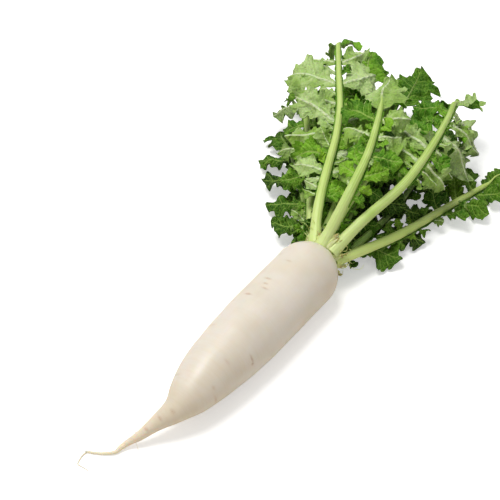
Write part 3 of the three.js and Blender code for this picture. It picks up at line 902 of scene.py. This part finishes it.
def scrap(number):
    draw = partial(chance, SCRAP_SEED, number)
    outwards, around = crown_directions(number, SCRAP_SEED, SCRAPS)
    lean = math.radians(draw(2, 16, 44))
    length = draw(3, 9, 22)
    half = draw(4, 2.0, 5.0)
    q = np.linspace(0, 1, 24)[:, None]
    u = np.linspace(-1, 1, 13)[None]
    torn = 1 - 0.3 * np.abs(np.sin(4.1 * u + number)) - 0.16 * np.abs(np.sin(11 * u + 2.0 * number))
    run = length * q * mix(1, torn, q)
    reach = half * u * mix(1, draw(5, 0.25, 0.8), q**1.5)
    reach = reach + length * draw(6, -0.25, 0.25) * q**2
    curl = draw(7, -0.1, 0.3) * length * q**3 - reach**2 / (2 * CROWN_RADIUS)
    curl = curl + 0.5 * q * np.sin(7 * q + 5 * u + number)
    foot = np.array([CROWN_X + 1.0, 0, CROWN_CENTRE_Z]) + outwards * SCRAP_FOOT
    ahead = math.cos(lean) * np.array([1.0, 0, 0]) + math.sin(lean) * outwards
    sheet = foot + run[..., None] * ahead + reach[..., None] * around + curl[..., None] * outwards
    half_thickness = 0.32 * (1 - 0.6 * q) * (1 - 0.5 * u**4)
    outer = half_thickness[..., None] * outwards
    rings = np.concatenate([sheet + outer, (sheet - outer)[:, ::-1]], 1)
    points, faces = wrap(rings)
    shares = np.repeat(q[:, 0], rings.shape[1])
    width = np.tile(np.concatenate([u[0], u[0, ::-1]]), len(q))
    skin_map = np.stack([shares * CROWN_LENGTH, width * 0.5, 0.3 * width], 1)
    skin_map = np.concatenate([skin_map, [[0, 0, 0], [CROWN_LENGTH, 0, 0]]])
    dry = np.concatenate([0.9 * fade(0.5, 1.0, shares), [0, 1]])
    return points, faces, {"skin_map": skin_map, "marks": dry}


# %% Curly threads, and build the scraps
def curly_thread(number):
    draw = partial(chance, THREAD_SEED, number)
    outwards, around = crown_directions(number, THREAD_SEED, THREADS)
    length = draw(2, 12, 30)
    loops = draw(3, 0.8, 2.6)
    foot = np.array([CROWN_X + 2.0, 0, CROWN_CENTRE_Z]) + outwards * SCRAP_FOOT
    line = []
    for share in np.linspace(0, 1, 14):
        turn = 2 * math.pi * (loops * share + draw(4, 0, 1))
        swing = length * 0.17 * share**0.7
        ahead = np.array([length * share * 0.7, 0, 0]) + outwards * length * 0.6 * share
        line.append(foot + ahead + swing * (math.cos(turn) * around + math.sin(turn) * outwards))
    points, faces = thread(line, draw(5, 0.35, 0.6), 0.4, 60, 7)
    dry = np.full(len(points), draw(6, 0.0, 0.6))
    return points, faces, {"skin_map": np.tile((0.01, 0.5, 0.5), (len(points), 1)), "marks": dry}


def build_scraps():
    scraps = [scrap(number) for number in range(SCRAPS)]
    threads = [curly_thread(number) for number in range(THREADS)]
    points, faces, maps = joined(scraps + threads)
    make_piece("sheath_scraps", points, faces, crown_skin, maps=maps)


build_scraps()

# %% [markdown]
# ## The leaves' lines
#
# Each leaf has a rib, and everything on the leaf is placed by it: the stalk sits on top
# of it, a narrow wing of blade runs under the stalk, and lobes leave the wing in pairs.
# These helpers give the rib's axes, the places of the lobes, and each lobe's own line.

# %% A leaf's rib
NUDGE = 0.004


def rib_axes(leaf, t):
    """The rib's place and axes at shares t: along it, to its left, and up from it."""
    t = np.asarray(t, float)
    at = through(leaf["rib"], t)
    ahead = through(leaf["rib"], np.minimum(t + NUDGE, 1))
    behind = through(leaf["rib"], np.maximum(t - NUDGE, 0))
    along = unit(ahead - behind)
    left = unit(np.cross(UP, along))
    return at, along, left, np.cross(along, left)


def stalk_half_width(leaf, t):
    return leaf["width"] * mix(1, STALK_TIP_SHARE, np.power(t, 1.2))


print("half the first stalk's width at its tip:", round(stalk_half_width(LEAVES[0], END_FROM), 1), "mm")


# %% The lobes
# Each lobe's key picks its numbers: even on the right, odd on the left, counted in pairs.
END_KEY = 50


def footholds(leaf):
    """Where the lobes' feet are, the small pair first."""
    spacing = (END_FROM - 0.02 - leaf["starts"]) / leaf["lobes"]
    found = []
    for pair in range(-1, leaf["lobes"]):
        t = leaf["starts"] + spacing * (pair + 0.5)
        foot = (LOBE_BASE / 2) * (0.5 if pair < 0 else 1)
        per_mm = 0.01 / np.linalg.norm(through(leaf["rib"], t + 0.01) - through(leaf["rib"], t))
        start, end = t - foot * per_mm, t + foot * per_mm
        found.append(dict(pair=pair, t=t, start=start, end=end, room=spacing / per_mm))
    return found


def lobes_of(leaf):
    """Every lobe of a leaf: a small pair, the side lobes in pairs, and the end lobe."""
    wild = leaf["wild"]
    lobes = []
    for foot in footholds(leaf):
        for side in (1, -1):
            key = foot["pair"] * 2 + (side > 0)
            draw = partial(chance, leaf["seed"], key)
            grown = math.sin(math.pi * mix(0.22, 0.6, (foot["pair"] + 1) / leaf["lobes"]))
            length = leaf["reach"] * (0.3 if foot["pair"] < 0 else grown) * draw(1, 0.8, 1.15)
            low, high = leaf["left"] if side > 0 else leaf["right"]
            lobes.append(dict(
                foot=foot,
                side=side,
                key=key,
                heading=side * math.radians(mix(82, 64, foot["t"]) + wild * draw(2, -11, 11)),
                length=length,
                half=min(length * 0.38, foot["room"] * 0.62),
                rise=(low + wild * draw(3, -8, 8), high + wild * draw(4, -25, 25)),
                roll=side * (wild * draw(5, -16, 16) - leaf["shingle"]),
                sweep=wild * draw(6, -12, 30),
                cup=wild * draw(7, -0.55, 0.25),
                wave=wild * draw(8, 1.5, 3.5),
                phase=draw(9, 0, 2),
            ))
    draw = partial(chance, leaf["seed"], END_KEY)
    lobes.append(dict(
        foot=None,
        side=0,
        key=END_KEY,
        heading=math.radians(wild * draw(2, -8, 8)),
        length=leaf["end"],
        half=leaf["end"] * 0.42,
        rise=leaf["tip"],
        roll=wild * draw(5, -25, 25),
        sweep=wild * draw(6, -12, 12),
        cup=wild * draw(7, -0.2, 0.3),
        wave=wild * draw(8, 2, 4),
        phase=draw(9, 0, 2),
    ))
    return lobes


print("lobes on each leaf:", [len(lobes_of(leaf)) for leaf in LEAVES])

# %% The small leaflets
SMALL_KEYS = 100
DOWN_THE_STALK = 20
SMALL_BASE = 5
FRILL_SPACING = 9
FRILL_LENGTH = 12


def small_feet(leaf):
    """Feet of the small leaflets: one between each two lobes, and a run of them down the stalk."""
    lobes = footholds(leaf)
    found = []
    for number, (before, after) in enumerate(zip(lobes[:-1], lobes[1:])):
        t, per_mm = (before["t"] + after["t"]) / 2, (after["t"] - before["t"]) / before["room"]
        found.append(dict(t=t, number=number, grown=0.3 * leaf["reach"], per_mm=per_mm))
    t, number = lobes[0]["start"], DOWN_THE_STALK
    grown = FRILL_LENGTH * (1 + 0.5 * leaf["age_and_shade"])
    while t > leaf["frilled"]:
        t -= FRILL_SPACING * chance(leaf["seed"], number, 60, 0.75, 1.25) * per_mm
        found.append(dict(t=t, number=number, grown=grown, per_mm=per_mm))
        number += 1
    for foot in found:
        foot["start"] = foot["t"] - SMALL_BASE / 2 * foot["per_mm"]
        foot["end"] = foot["t"] + SMALL_BASE / 2 * foot["per_mm"]
    return found


def frills_of(leaf):
    """The small leaflets. They stand up, droop and turn more than the lobes do."""
    frills = []
    for foot in small_feet(leaf):
        for side in (1, -1):
            key = SMALL_KEYS + foot["number"] * 2 + (side > 0)
            draw = partial(chance, leaf["seed"], key)
            length = foot["grown"] * draw(1, 0.6, 1.5)
            lift = 1 if draw(2, 0, 1) < 0.68 else -1
            frills.append(dict(
                foot=foot,
                side=side,
                key=key,
                heading=side * math.radians(draw(3, 45, 100)),
                length=length,
                half=length * draw(4, 0.34, 0.48),
                rise=(lift * draw(5, 15, 50), lift * draw(6, -20, 75)),
                roll=draw(7, -45, 45),
                sweep=draw(8, -25, 50),
                cup=draw(9, -0.7, 0.7),
                wave=draw(10, 0.8, 2.2),
                phase=draw(11, 0, 2),
            ))
    return frills


print("small leaflets on each leaf:", [len(frills_of(leaf)) for leaf in LEAVES])


# %% Which side is up
def face_of(leaf, lobe):
    """1 where the lobe's dark upper side is up, -1 where its pale underside is."""
    share = leaf["pale"][0 if lobe["side"] > 0 else 1]
    return -1 if chance(leaf["seed"], lobe["key"], 45, 0, 1) < share else 1


turned = sum(face_of(leaf, lobe) < 0 for leaf in LEAVES for lobe in lobes_of(leaf))
print("lobes that show their underside:", turned)

# %% A lobe's own line
LINE_STEPS = 12


def lobe_axes(frame_at, lobe, q):
    """A lobe's axes at shares q: out along it, over its sheet, and across it."""
    _, along, left, up = frame_at
    q = np.asarray(q, float)[..., None]
    bend = np.radians(mix(lobe["rise"][0], lobe["rise"][1], q))
    aim = lobe["heading"] - (lobe["side"] or 1) * math.radians(lobe["sweep"]) * q
    roll = math.radians(lobe["roll"]) * np.minimum(1.6 * q, 1)
    flat = along * np.cos(aim) + left * np.sin(aim)
    out = flat * np.cos(bend) + up * np.sin(bend)
    level = np.cross(flat, up)
    across = level * np.cos(roll) + np.cross(out, level) * np.sin(roll)
    return out, np.cross(across, out), across


def lobe_line(leaf, lobe, q):
    """The lobe's midrib at shares q, with its axes there."""
    foot = lobe["foot"]
    frame_at = rib_axes(leaf, foot["t"] if foot else END_FROM)
    start = frame_at[0]
    if foot:
        start = start + frame_at[2] * lobe["side"] * (stalk_half_width(leaf, foot["t"]) + WING_MARGIN)
    shares = q[:, None] * (np.arange(LINE_STEPS) + 0.5) / LINE_STEPS
    out = lobe_axes(frame_at, lobe, shares)[0]
    middle = start + out.sum(1) * (lobe["length"] * q / LINE_STEPS)[:, None]
    out, over, across = lobe_axes(frame_at, lobe, q)
    draw = partial(chance, leaf["seed"], lobe["key"])
    bends = [
        lobe["length"] * size * np.sin(2 * math.pi * (turns * q + draw(use, 0, 1)))
        for size, turns, use in ((0.035, 1.2, 46), (0.025, 0.9, 47))
    ]
    held = fade(0.1, 0.5, q)[:, None]
    middle = middle + held * (over * bends[0][:, None] + across * bends[1][:, None])
    return middle, over, across


highest = max(lobe_line(leaf, lobes_of(leaf)[-1], np.array([1.0]))[0][0, 2] for leaf in LEAVES)
print("the highest leaf tip is", round(highest), "mm up")


# %% [markdown]
# ## The stalks
#
# A stalk is round on top and flat beneath, ribbed along its length and broader at its
# foot. It doesn't stop where the end lobe begins: it thins out as that lobe's midrib, so
# the last rings follow the lobe's line and sink into its sheet. A curve with a bevel has
# one section all the way, so the rings are worked out one by one instead.

# %% Build the stalks
STALK_SIDES = 36
STALK_RINGS = 120
MIDRIB_RINGS = 40
MIDRIB_REACH = 0.9


def stalk_section(half):
    """Across and up, for each place around a stalk of that half width."""
    angle = places_round(STALK_SIDES)
    ribs = 1 + 0.022 * np.cos(11 * angle) * (np.sin(angle) > -0.4)
    across = np.cos(angle) * ribs
    height = (np.maximum(np.sin(angle) * ribs, -0.45) + 0.45) * 1.25 * STALK_DEPTH
    return half[:, None] * across, half[:, None] * height


def build_stalk(leaf):
    t = np.linspace(0, END_FROM, STALK_RINGS)
    at, along, left, up = rib_axes(leaf, t)
    foot_flare = 1 + 0.3 * np.exp(-((t / 0.08) ** 2))
    knobbly = 1 + 0.012 * np.sin(t * 41 + leaf["seed"]) + 0.01 * np.sin(t * 97 + 2 * leaf["seed"])
    half = stalk_half_width(leaf, t) * foot_flare * knobbly
    across, height = stalk_section(half)
    lift = GAP + SHEET_HALF_THICKNESS + 0.1
    rings = settle(at[:, None] + left[:, None] * across[..., None]) + up[:, None] * (height + lift)[..., None]

    end_lobe = lobes_of(leaf)[-1]
    q = np.linspace(0, MIDRIB_REACH, MIDRIB_RINGS + 1)[1:]
    middle, over, sideways = lobe_line(leaf, end_lobe, q)
    thin = half[-1] * np.power(1 - q / (MIDRIB_REACH + 0.03), 0.9) * mix(1, 0.6, np.minimum(q * 3, 1))
    across, height = stalk_section(thin)
    sink = mix(lift, 0.1, np.minimum(q * 5, 1))
    tail = settle(middle[:, None] - sideways[:, None] * across[..., None])
    tail = tail + over[:, None] * (height + sink[:, None])[..., None]

    points, faces = wrap(np.concatenate([rings, tail]))
    length = run_along(at)
    length = np.concatenate([length, length[-1] + q * end_lobe["length"]]) * MM
    skin_map = skin_map_of(length[:, None], places_round(STALK_SIDES) + leaf["seed"])
    # How old the leaf is, which the stalk's skin turns into painted shade on old stalks and painted light on
    # young ones.
    maps = {"skin_map": skin_map, "aged_and_shaded": np.full(len(skin_map), leaf["age_and_shade"])}
    name = leaf["name"] + "_stalk"
    make_piece(name + "_fine", points, faces, stalk_skin, [name], maps)


for leaf in LEAVES:
    build_stalk(leaf)

# %% [markdown]
# ## The blades
#
# A blade is one thin sheet: the wing under the stalk and every lobe share their edge
# points, so the sheet has no seams. Each lobe is a grid that follows its own line. Its
# edge gets teeth that point forwards, its sheet quilts up between the side veins, and
# its rim ruffles because the edge grows faster than the middle. Last the sheet is given
# its thickness, with the midribs standing out on the underside.

# %% A lobe's outline
HALF_COLUMNS = 10
SMALL_HALF_COLUMNS = 5
TOOTH_SPACING = 6.0
BIG_TOOTH_SPACING = 15


def columns_of(foot):
    """Places across a lobe, -1 to 1, closer together at the midrib. Small leaflets have fewer."""
    half = SMALL_HALF_COLUMNS if foot and "grown" in foot else HALF_COLUMNS
    even = np.linspace(-1, 1, 2 * half + 1)
    return np.sign(even) * np.abs(even) ** 1.3


def lobe_outline(q, end):
    """Half the width of a lobe at a share q of its length, as a share of its widest."""
    swell = np.sin(math.pi * np.power(0.05 + 0.9 * q, 0.95 if end else 1.25)) ** 0.8
    if end:
        swell = np.maximum(swell, 0.3)
    return swell * np.sqrt(1 - q**9)


def teeth_of(lobe):
    return max(3, round(lobe["length"] / TOOTH_SPACING))


def lobe_edge(leaf, lobe, qq, uu):
    """Each point's distance from the midrib: the outline with its big and small teeth."""
    draw = partial(chance, leaf["seed"], lobe["key"])
    rim, right = np.abs(uu), uu > 0
    big_teeth = lobe["length"] / BIG_TOOTH_SPACING * draw(10, 0.85, 1.2)
    tooth = np.mod(qq * teeth_of(lobe) + 0.001, 1.0) ** 0.85
    big_phase = big_teeth * qq + draw(11, 0, 1) + 0.45 * right
    big_tooth = np.abs(np.sin(math.pi * big_phase)) ** 0.6
    uneven = 0.1 * np.sin(2 * math.pi * (1.3 * qq + draw(12, 0, 1) + 0.37 * right))
    small_teeth = 3.0 / max(lobe["half"], 6) * (tooth - 0.6)
    shape = 1 + (uneven + 0.4 * (big_tooth - 0.75) + small_teeth) * fade(0.45, 1.0, rim) * fade(0.0, 0.12, qq)
    return uu * lobe["half"] * lobe_outline(qq, lobe["foot"] is None) * shape


widest = max(lobe["half"] for leaf in LEAVES for lobe in lobes_of(leaf))
print("the widest lobe is about", round(2 * widest), "mm across")

# %% A lobe's relief
# A lobe with a narrower half than this is ruffled and puffed less.
FULL_HALF = 15
PUFF = 1.6
CREASE = 0.9
CRUMPLE = 0.07
CRUMPLES = 5


def lobe_relief(leaf, lobe, qq, uu, edge, vein_near):
    """Height of the sheet over its plain surface: folded, quilted, ruffled and crumpled."""
    draw = partial(chance, leaf["seed"], lobe["key"])
    rim, right = np.abs(uu), uu > 0
    small = min(1, lobe["half"] / FULL_HALF)
    face = face_of(leaf, lobe)
    curl = lobe["cup"] * uu**2 * lobe["half"] * qq
    ripple = lobe["wave"] * np.sin(math.pi * (2.6 * qq + lobe["phase"] + 0.5 * right)) * uu**2 * qq
    droop = np.where(right, draw(13, -0.2, 0.85), draw(14, -0.2, 0.85))
    fold = -droop * (np.sqrt(edge**2 + 4) - 2) * fade(0.05, 0.4, qq)
    ruffles = lobe["length"] / 15 * draw(15, 0.8, 1.3)
    broad = np.sin(2 * math.pi * (ruffles * qq + draw(16, 0, 1) + 0.4 * right))
    fine = np.sin(2 * math.pi * (2.3 * ruffles * qq + draw(17, 0, 1) + 0.7 * right))
    ruffle = (broad + 0.5 * fine) * small * draw(18, 2.5, 4.8) * rim**3 * fade(0.03, 0.3, qq)
    puff = face * small * PUFF * (1 - vein_near**3) * fade(0.02, 0.3, rim) * (1 - 0.7 * rim**4)
    crease = -face * CREASE * np.exp(-((edge / 3.5) ** 2))
    crumple = 0
    for wave in range(CRUMPLES):
        turn = draw(20 + wave, 0, 2 * math.pi)
        size = draw(25 + wave, 7, 30)
        there = edge * math.cos(turn) + qq * lobe["length"] * math.sin(turn)
        swell = np.sin(2 * math.pi * there / size + draw(30 + wave, 0, 6.3))
        crumple = crumple + CRUMPLE * size * swell
    crumple = crumple * small * (1 - np.exp(-((edge / 4) ** 2)))
    return curl + ripple + ruffle + crease + (fold + puff + crumple) * fade(0, 0.3, qq)


# %% A lobe's sheet
ROWS_PER_TOOTH = 5
VEIN_SPACING = 8.5
VEIN_SLANT = 0.26
# A shorter lobe than this has a thinner midrib.
FULL_LOBE = 45


def wing_point(leaf, t, u, extra=0.0):
    """The wing's middle surface; u is -1 on its left edge and 1 on its right."""
    at, _, left, _ = rib_axes(leaf, t)
    half = stalk_half_width(leaf, t) + WING_MARGIN + extra
    return settle(at - left * (u * half)[..., None])


def foot_points(leaf, lobe, u):
    """Where a lobe's foot meets the wing's edge, for each column u."""
    foot = lobe["foot"]
    if foot is None:
        return wing_point(leaf, np.full(len(u), END_FROM), u)
    t = mix(foot["start"], foot["end"], (1 + u * lobe["side"]) / 2)
    return wing_point(leaf, t, np.full(len(u), -float(lobe["side"])))


def lobe_sheet(leaf, lobe):
    """A lobe's middle surface as a grid, its map, its ridges, and which side is up."""
    rows = teeth_of(lobe) * ROWS_PER_TOOTH
    q = np.linspace(0, 1, rows + 1)
    u = columns_of(lobe["foot"])
    middle, over, across = lobe_line(leaf, lobe, q)
    qq = q[:, None]
    uu = u[None]
    edge = lobe_edge(leaf, lobe, qq, uu)
    veins = max(2, round(lobe["length"] / VEIN_SPACING))
    vein_phase = veins * (qq - VEIN_SLANT * np.abs(uu)) + 0.35 + 0.5 * (uu > 0)
    vein_near = np.abs(np.mod(vein_phase, 1.0) - 0.5) * 2
    height = lobe_relief(leaf, lobe, qq, uu, edge, vein_near)
    points = middle[:, None] + across[:, None] * edge[..., None] + over[:, None] * height[..., None]
    blade_foot = foot_points(leaf, lobe, u)
    ease = (1 - fade(0, 0.22, qq))[..., None]
    points = settle(points + (blade_foot - points[0])[None] * ease)

    size = min(1, lobe["length"] / FULL_LOBE)
    rib_share = np.abs(edge) / (mix(1.5, 0.45, qq) * size)
    # The lobe's tone: its own chance, made darker on old leaves, partly as painted shade for the old leaves
    # low in the heap.
    tone = chance(leaf["seed"], lobe["key"], 40, 0, 1) - leaf["age_and_shade"]
    leaf_map = np.stack([rib_share, vein_phase + 0.5, 0 * rib_share + tone], -1)
    ridge = np.exp(-(rib_share**2)) * mix(1.0, 0.25, qq) * size
    ridge = ridge + 0.2 * np.exp(-(((1 - vein_near) * 5) ** 2)) * (1 - np.abs(uu) ** 3)
    face = np.full(ridge.shape, float(face_of(leaf, lobe)))
    return points, leaf_map, ridge, face


print("points in the largest end lobe:", lobe_sheet(LEAVES[3], lobes_of(LEAVES[3])[-1])[2].size)


# %% The wing
WING_COLUMNS = np.array([-1, -0.5, 0, 0.5, 1.0])
BETWEEN_FEET = 4
WING_RUFFLE = 1.2


def wing_rows(leaf):
    """The wing's stations, how much it widens at each, and the rows of each foot, by its place t."""
    feet = sorted(footholds(leaf) + small_feet(leaf), key=lambda foot: foot["t"])
    before = feet[0]["start"] - 0.05
    stations, extras, owned = [before], [0.0], {}
    for foot in feet + [None]:
        until = foot["start"] if foot else END_FROM
        shares = np.linspace(0, 1, BETWEEN_FEET + 2)[1:-1]
        stations += list(mix(before, until, shares))
        extras += list(WING_RUFFLE * np.sin(math.pi * shares) ** 2 if owned else 0 * shares)
        if foot:
            columns = columns_of(foot)
            owned[foot["t"]] = len(stations) + np.arange(len(columns))
            stations += list(mix(foot["start"], foot["end"], (1 + columns) / 2))
            extras += [0.0] * len(columns)
            before = foot["end"]
    return np.array(stations + [END_FROM]), np.array(extras + [0.0]), owned


print("stations along each wing:", [len(wing_rows(leaf)[0]) for leaf in LEAVES])


# %% Stitch the wing and the lobes
def grid_faces(ids):
    """Faces of a grid of point numbers; corners that share a point close up."""
    faces = []
    for near, far in zip(ids[:-1], ids[1:]):
        for a, b, c, d in zip(near[:-1], near[1:], far[1:], far[:-1]):
            corners = list(dict.fromkeys((a, b, c, d)))
            if len(corners) > 2:
                faces.append(tuple(corners))
    return faces


def middle_sheet(leaf):
    """The blade's middle surface: points, faces, map, ridge heights and which side is up."""
    stations, extras, owned = wing_rows(leaf)
    t = np.repeat(stations[:, None], len(WING_COLUMNS), 1)
    u = np.repeat(WING_COLUMNS[None], len(stations), 0)
    count = t.size
    points = [wing_point(leaf, t, u, extras[:, None]).reshape(-1, 3)]
    # The wing's tone is darker on old leaves, partly as painted shade.
    maps = [np.stack([2.2 * np.abs(u).ravel(), np.full(count, 0.5), np.full(count, 0.3 - leaf["age_and_shade"])], 1)]
    ridges = [np.zeros(count)]
    ups = [np.ones(count)]
    wing_ids = np.arange(count).reshape(t.shape)
    faces = grid_faces(wing_ids)
    for lobe in lobes_of(leaf) + frills_of(leaf):
        sheet, leaf_map, ridge, face = lobe_sheet(leaf, lobe)
        rows, columns = sheet.shape[:2]
        ids = np.zeros((rows, columns), int)
        if lobe["foot"] is None:
            nearest = np.abs(columns_of(None)[:, None] - WING_COLUMNS[None]).argmin(1)
            ids[0] = wing_ids[-1][nearest]
        else:
            own = owned[lobe["foot"]["t"]]
            ids[0] = wing_ids[own, 0] if lobe["side"] > 0 else wing_ids[own[::-1], -1]
        ids[1:-1] = count + np.arange((rows - 2) * columns).reshape(rows - 2, columns)
        ids[-1] = count + (rows - 2) * columns
        points += [sheet[1:-1].reshape(-1, 3), sheet[-1].mean(0)[None]]
        maps += [leaf_map[1:-1].reshape(-1, 3), leaf_map[-1, :1]]
        ridges += [ridge[1:-1].ravel(), [0.0]]
        ups += [face[1:-1].ravel(), face[-1, :1]]
        faces += grid_faces(ids)
        count += (rows - 2) * columns + 1
    return [np.concatenate(points), faces] + [np.concatenate(values) for values in (maps, ridges, ups)]


# %% Give the sheet its thickness, and build the blades
FINE_HALF_THICKNESS = 0.26
SUNK = 0.35


def thicken(points, faces, ridges, ups):
    """A closed sheet from a middle surface. The ridges stand out on the leaf's underside."""
    corners = np.array([f if len(f) == 4 else f + (f[-1],) for f in faces])
    across = points[corners[:, 2]] - points[corners[:, 0]]
    other = points[corners[:, 3]] - points[corners[:, 1]]
    face_normals = np.cross(across, other)
    normals = np.zeros_like(points)
    for k in range(4):
        np.add.at(normals, corners[:, k], face_normals)
    normals = normals / np.maximum(np.linalg.norm(normals, axis=1, keepdims=True), 1e-9)
    sunk = -SUNK * ridges
    over = FINE_HALF_THICKNESS + np.where(ups < 0, ridges, sunk)
    under = FINE_HALF_THICKNESS + np.where(ups < 0, sunk, ridges)
    count = len(points)
    both = np.concatenate([points + normals * over[:, None], points - normals * under[:, None]])
    open_edges = {}
    for f in faces:
        for m, n in zip(f, f[1:] + f[:1]):
            if open_edges.pop((n, m), None) is None:
                open_edges[(m, n)] = True
    under_faces = [tuple(count + i for i in reversed(f)) for f in faces]
    rim = [(n, m, count + m, count + n) for m, n in open_edges]
    return both, faces + under_faces + rim


def build_blade(leaf):
    points, faces, maps, ridges, ups = middle_sheet(leaf)
    faces = [tuple(int(i) for i in f) for f in faces]
    both, closed = thicken(points, faces, ridges, ups)
    upper = np.concatenate([ups > 0, ups < 0]).astype(float)
    maps = {"leaf_map": np.concatenate([maps, maps]), "upper_face": upper}
    name = leaf["name"] + "_blade"
    make_piece(name + "_fine", both, closed, blade_skin, [name], maps, crease=70)


for leaf in LEAVES:
    build_blade(leaf)

# %% [markdown]
# ## Floor, light and camera
#
# A plain white sheet under a large soft light shows produce best. The sheet is a floor so
# pale that it goes white where the light is full, and keeps only the soft shadows. It glows
# a little for the camera alone, and throws a warmer light back on the radish than it shows.
# The camera looks down on the radish from the side of its tail.

# %% Floor
FLOOR_HALF = 4.0
FLOOR_DROP = 0.0002
WARM_BOUNCE = (0.88, 0.82, 0.73, 1.0)
SEEN_WHITE = (0.93, 0.93, 0.925, 1.0)
FLOOR_GLOW = 0.39


def make_floor():
    material, tree, shader = new_material("white_sheet")
    seen = add(tree, "ShaderNodeLightPath").outputs["Is Camera Ray"]
    fill(tree, shader, {
        "Base Color": blend(tree, seen, WARM_BOUNCE, SEEN_WHITE),
        "Roughness": 0.75,
        "Emission Color": (1.0, 1.0, 1.0, 1.0),
        "Emission Strength": times(tree, seen, FLOOR_GLOW),
    })
    corners = [(x * FLOOR_HALF, y * FLOOR_HALF, 0) for x, y in ((-1, -1), (1, -1), (1, 1), (-1, 1))]
    mesh = bpy.data.meshes.new("floor")
    mesh.from_pydata(corners, [], [(0, 1, 2, 3)])
    mesh.materials.append(material)
    floor = bpy.data.objects.new("floor", mesh)
    floor.location.z = -FLOOR_DROP
    bpy.context.scene.collection.objects.link(floor)
    floor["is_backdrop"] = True
    return floor


floor = make_floor()
print("floor:", [round(x, 2) for x in floor.dimensions])

# %% Light
from mathutils import Vector

SKY_STRENGTH = 0.45
LAMP_TOWARDS = Vector((-0.10, 0.22, 1.0))
LAMP_DISTANCE = 1.7
LAMP_SIZE = 0.9
LAMP_WATTS = 23.5
MIDDLE = Vector((0.10, 0.03, 0.03))


def make_light():
    world = bpy.data.worlds.new("studio")
    bpy.context.scene.world = world
    world.use_nodes = True
    sky = world.node_tree.nodes["Background"]
    sky.inputs["Color"].default_value = (1.0, 1.0, 1.0, 1.0)
    sky.inputs["Strength"].default_value = SKY_STRENGTH
    data = bpy.data.lights.new("soft_lamp", "AREA")
    data.shape = "DISK"
    data.size = LAMP_SIZE
    data.energy = LAMP_WATTS
    data.color = (1.0, 0.985, 0.96)
    lamp = bpy.data.objects.new("soft_lamp", data)
    bpy.context.scene.collection.objects.link(lamp)
    lamp.location = MIDDLE + LAMP_TOWARDS.normalized() * LAMP_DISTANCE
    lamp.rotation_euler = (-LAMP_TOWARDS).to_track_quat("-Z", "Y").to_euler()
    return lamp


lamp = make_light()
bpy.context.scene.view_settings.view_transform = "Standard"
print("lamp at", [round(x, 2) for x in lamp.location])

# %% Camera
CAMERA_TURN = math.radians(54.87)
CAMERA_FALL = math.radians(43)
CAMERA_PLACE = Vector((-0.6511, -0.4313, 0.8350))
LENS = 85
SENSOR = 36


def make_camera():
    data = bpy.data.cameras.new("camera")
    data.lens = LENS
    data.sensor_width = SENSOR
    camera = bpy.data.objects.new("camera", data)
    bpy.context.scene.collection.objects.link(camera)
    level = math.cos(CAMERA_FALL)
    gaze = Vector((math.sin(CAMERA_TURN) * level, math.cos(CAMERA_TURN) * level, -math.sin(CAMERA_FALL)))
    camera.location = CAMERA_PLACE
    camera.rotation_euler = gaze.to_track_quat("-Z", "Y").to_euler()
    bpy.context.scene.camera = camera
    return camera


camera = make_camera()
print("camera at", [round(x, 3) for x in camera.location])

# %% [markdown]
# ## Sizes, and the end
#
# Both boxes, the solid model's and the dressed radish's, are put side by side, and the last
# line prints how many millimetres the dressed radish grew past the solid one. The dressed
# radish has to stay in the solid model's box, give or take a whisker.

# %% Measure and finish
dressed_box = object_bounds()
sizes = {
    "cad": [list(corner) for corner in solid_box],
    "visual": [list(corner) for corner in dressed_box],
}
grown = np.subtract(sizes["visual"], sizes["cad"]) / MM
print("grown by mm:", grown.round(1).tolist())
